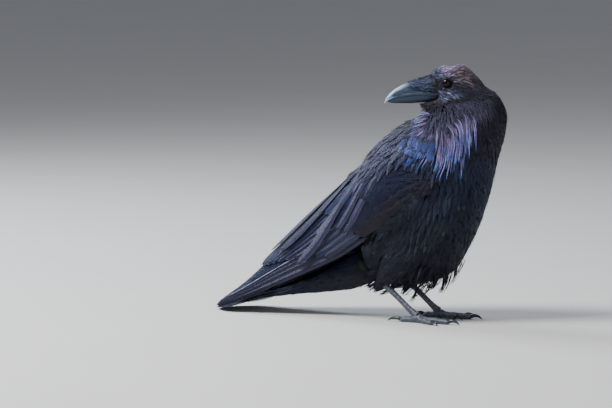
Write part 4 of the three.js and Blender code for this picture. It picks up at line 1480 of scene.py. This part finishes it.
def head_over_eye(centre, axis, spoke, radius):
    """How far out of the eyeball's centre the head's surface lies, round the eye."""
    t, angle, _ = on_core(centre + spoke * radius + axis * EYE_RADIUS)
    out = dot(core_surface(t, angle, 0) - centre, axis)
    for _ in range(6):
        out = (np.roll(out, 1) + out + np.roll(out, -1)) / 3
    return out


def lids(word, centre, axis, ahead, up):
    """The bare skin round the eye, with a raised rim drawn to a corner in front and behind."""
    turn = directions(72)
    corner = 0.7 * np.exp(-((np.sin(turn) / 0.28) ** 2))
    rim = np.hypot(np.cos(turn) * LID_WIDTH, np.sin(turn) * LID_HEIGHT) + corner
    ball = np.sqrt(np.maximum(EYE_RADIUS**2 - rim**2, 0))
    folds = 0.12 * np.sin(turn * 19)
    spoke = ahead * np.cos(turn)[:, None] + up * np.sin(turn)[:, None]
    section = [(rim + across, ball + rise + folds * (rise > 0.5)) for across, rise in LID_RIM]
    for reach, over in LID_EDGE:
        section.append((np.full_like(turn, reach), head_over_eye(centre, axis, spoke, reach) + over))
    radius, out = np.moveaxis(np.array(section), 1, 0)
    knots = centre + spoke[None] * radius[..., None] + axis * out[..., None]
    closed = np.concatenate([knots[-1:], knots, knots[:2]])
    count = len(knots)
    rings = between(closed.reshape(len(closed), -1), 1 + np.linspace(0, count, 4 * count + 1)[:-1])
    rings = rings.reshape(4 * count, len(turn), 3).transpose(1, 0, 2)
    rows, columns = rings.shape[:2]
    faces = round_faces(rows + 1, columns) % (rows * columns)
    points = rings.reshape(-1, 3)
    mesh = mesh_from(f"lids_{word}", to_row(points), outward(points - centre, faces))
    paint(mesh, even(LID * 0.5, len(points)))
    piece(f"lids_{word}", mesh, SKIN, "plumage")


LEG_SIDES = 28
PRESS = 0.5  # mm that the toes are flattened on the floor
TOE_START = 2  # mm ahead of the origin, where the lengths of the toes are measured from


def scaled_tube(name, rows, side, plates, node, stations=90):
    """A leg piece with overlapping plates along its upper face, painted lighter towards each plate's end on
    that face as a highlight.
    """
    t, angle = grid(np.linspace(0, len(rows) - 1, stations), directions(LEG_SIDES))
    share = t / (len(rows) - 1)
    upper = smooth(-0.1, 0.5, np.sin(angle))
    step = (share * plates) % 1
    rise = upper * 0.32 * step**2 - 0.1 * (1 - upper) * np.abs(np.sin(share * plates * math.pi))
    # Painted highlight: the upper faces are lighter, most towards each plate's end.
    tint = 0.55 + 0.45 * upper * smooth(0.2, 0.95, step)
    tube_piece(name, tube_surface(rows, side)(t, angle, rise), SCALES, "scale", tint, node)


def toe_rows(digit):
    """Rows of a toe, with the swell of its pads."""
    heading, length, radius, pads, _ = TOES[digit]
    c, s = cos_sin(heading)
    shares, sizes = (0.06, 0.35, 0.7, 1), (1, 1, 0.9, 0.72)
    rows = []
    for share in np.linspace(0, 1, 4 * pads + 1):
        along = 0.06 + 0.94 * share
        size = radius * np.interp(along, shares, sizes)
        pad = 1 - 0.1 * math.cos(TURN * pads * share)
        x, y = TOE_START + c * length * along, 1 + s * length * along / STANCE
        rows.append([x, y, size - PRESS, size * pad])
    return rows


def claw_rows(digit):
    """Rows of a claw, from inside the toe to its tip on the floor."""
    heading, length, radius, _, reach = TOES[digit]
    c, s = cos_sin(heading)
    places = (
        (-1.5, radius * 0.75, radius * 0.5),
        (1.2, radius * 0.95, radius * 0.6),
        (reach * 0.28, radius * 1.2, radius * 0.54),
        (reach * 0.6, radius * 1.05, radius * 0.4),
        (reach * 0.86, radius * 0.5, radius * 0.2),
        (reach * 0.97, 0.35, 0.12),
    )
    return [[TOE_START + c * (length + out), 1 + s * (length + out) / STANCE, z, r] for out, z, r in places]


def leg(word, side):
    """Shank, sole, toes and claws of one leg."""
    scaled_tube(f"tarsus_{word}", SHANK_ROWS, side, 15, f"shank_{word}", stations=120)
    scaled_tube(f"sole_{word}", PALM_ROWS, side, 4, f"foot_{word}", stations=50)
    for digit, (_, length, _, _, _) in TOES.items():
        scaled_tube(f"digit_{word}_{digit}", toe_rows(digit), side, length // 3, f"toe_{word}_{digit}")
        rows = claw_rows(digit)
        t, angle = grid(np.linspace(0, len(rows) - 1, 36), directions(20))
        rings = tube_surface(rows, side)(t, angle, 0)
        tube_piece(f"nail_{word}_{digit}", rings, CLAW_HORN, "horn", np.ones(t.shape), f"claw_{word}_{digit}")


# ---------------------------------------------------------------- stage
PIXEL = 1.3  # mm at the bird, for a frame 612 pixels wide
FRAME_PIXELS = (612, 408)
FEET_PIXEL = (427, 320)  # where the bird's own origin lies in the frame
AZIMUTH, ELEVATION = 28, 5
CAMERA_DISTANCE = 5.0  # metres
SENSOR = 36.0


def camera():
    """The photo's view, from far enough for little perspective."""
    along_x, along_y = cos_sin(AZIMUTH)
    level, rise = cos_sin(ELEVATION)
    right = Vector((along_x, along_y, 0))
    back = Vector((along_y * level, -along_x * level, rise))
    up = back.cross(right)
    shift = [(FRAME_PIXELS[i] / 2 - FEET_PIXEL[i]) * PIXEL * MM for i in (0, 1)]
    aim = Vector(to_row([0, 0, 0])) + right * shift[0] - up * shift[1]
    data = bpy.data.cameras.new("camera")
    data.sensor_width = SENSOR
    data.lens = SENSOR * CAMERA_DISTANCE / (FRAME_PIXELS[0] * PIXEL * MM)
    made = placed("camera", data)
    made.location = aim + back * CAMERA_DISTANCE
    made.rotation_euler = back.to_track_quat("Z", "Y").to_euler()
    bpy.context.scene.camera = made


def area_light(name, place, size, power, colour):
    data = bpy.data.lights.new(name, "AREA")
    data.size, data.energy, data.color = size, power, colour
    made = placed(name, data)
    made.location = place
    made.rotation_euler = Vector(place).to_track_quat("Z", "Y").to_euler()


FLOOR_REACH = 40.0  # metres


def stage():
    """Floor, world and lights."""
    corners = np.array([[-1, -1, 0], [1, -1, 0], [1, 1, 0], [-1, 1, 0]]) * FLOOR_REACH
    mesh = mesh_from("floor", corners, [[0, 1, 2], [0, 2, 3]], False)
    g = Graph("floor")
    grain = g.noise(g.position(), 3)
    g.finish(g.mix(grain, (0.62, 0.62, 0.61, 1), (0.66, 0.66, 0.65, 1)), 0.8)
    mesh.materials.append(g.material)
    placed("floor", mesh)
    world = bpy.data.worlds.new("studio")
    world.use_nodes = True
    world.node_tree.nodes["Background"].inputs[0].default_value = (0.86, 0.9, 1.0, 1)
    world.node_tree.nodes["Background"].inputs[1].default_value = 0.25
    bpy.context.scene.world = world
    area_light("key", (-1.04, -1.46, 2.4), 1.2, 135, (1.0, 0.99, 0.97))
    area_light("rim", (-2.0, 0.6, 1.8), 1.2, 60, (0.85, 0.9, 1.0))
    area_light("fill", (2.4, -2.2, 1.0), 1.8, 22, (0.95, 0.97, 1.0))


# ---------------------------------------------------------------- assembly
camera()
stage()
skin()
body_coat()
head_coat()
scapulars()
shoulder_patch()
hackles()
belly_fringe()
nasal_bristles()
tail_feathers()
rump_coverts()
back_feathers()
for word, side in SIDES.items():
    wing_coverts(word, side)
    flight_feathers(word, side)
    thigh_coat(word, side)
    leg(word, side)
    eye(word, side)
bill_half("bill_upper_horn", UPPER_BILL_ROWS, "bill_upper")
bill_half("bill_lower_horn", LOWER_BILL_ROWS, "bill_lower")

bpy.context.view_layer.update()
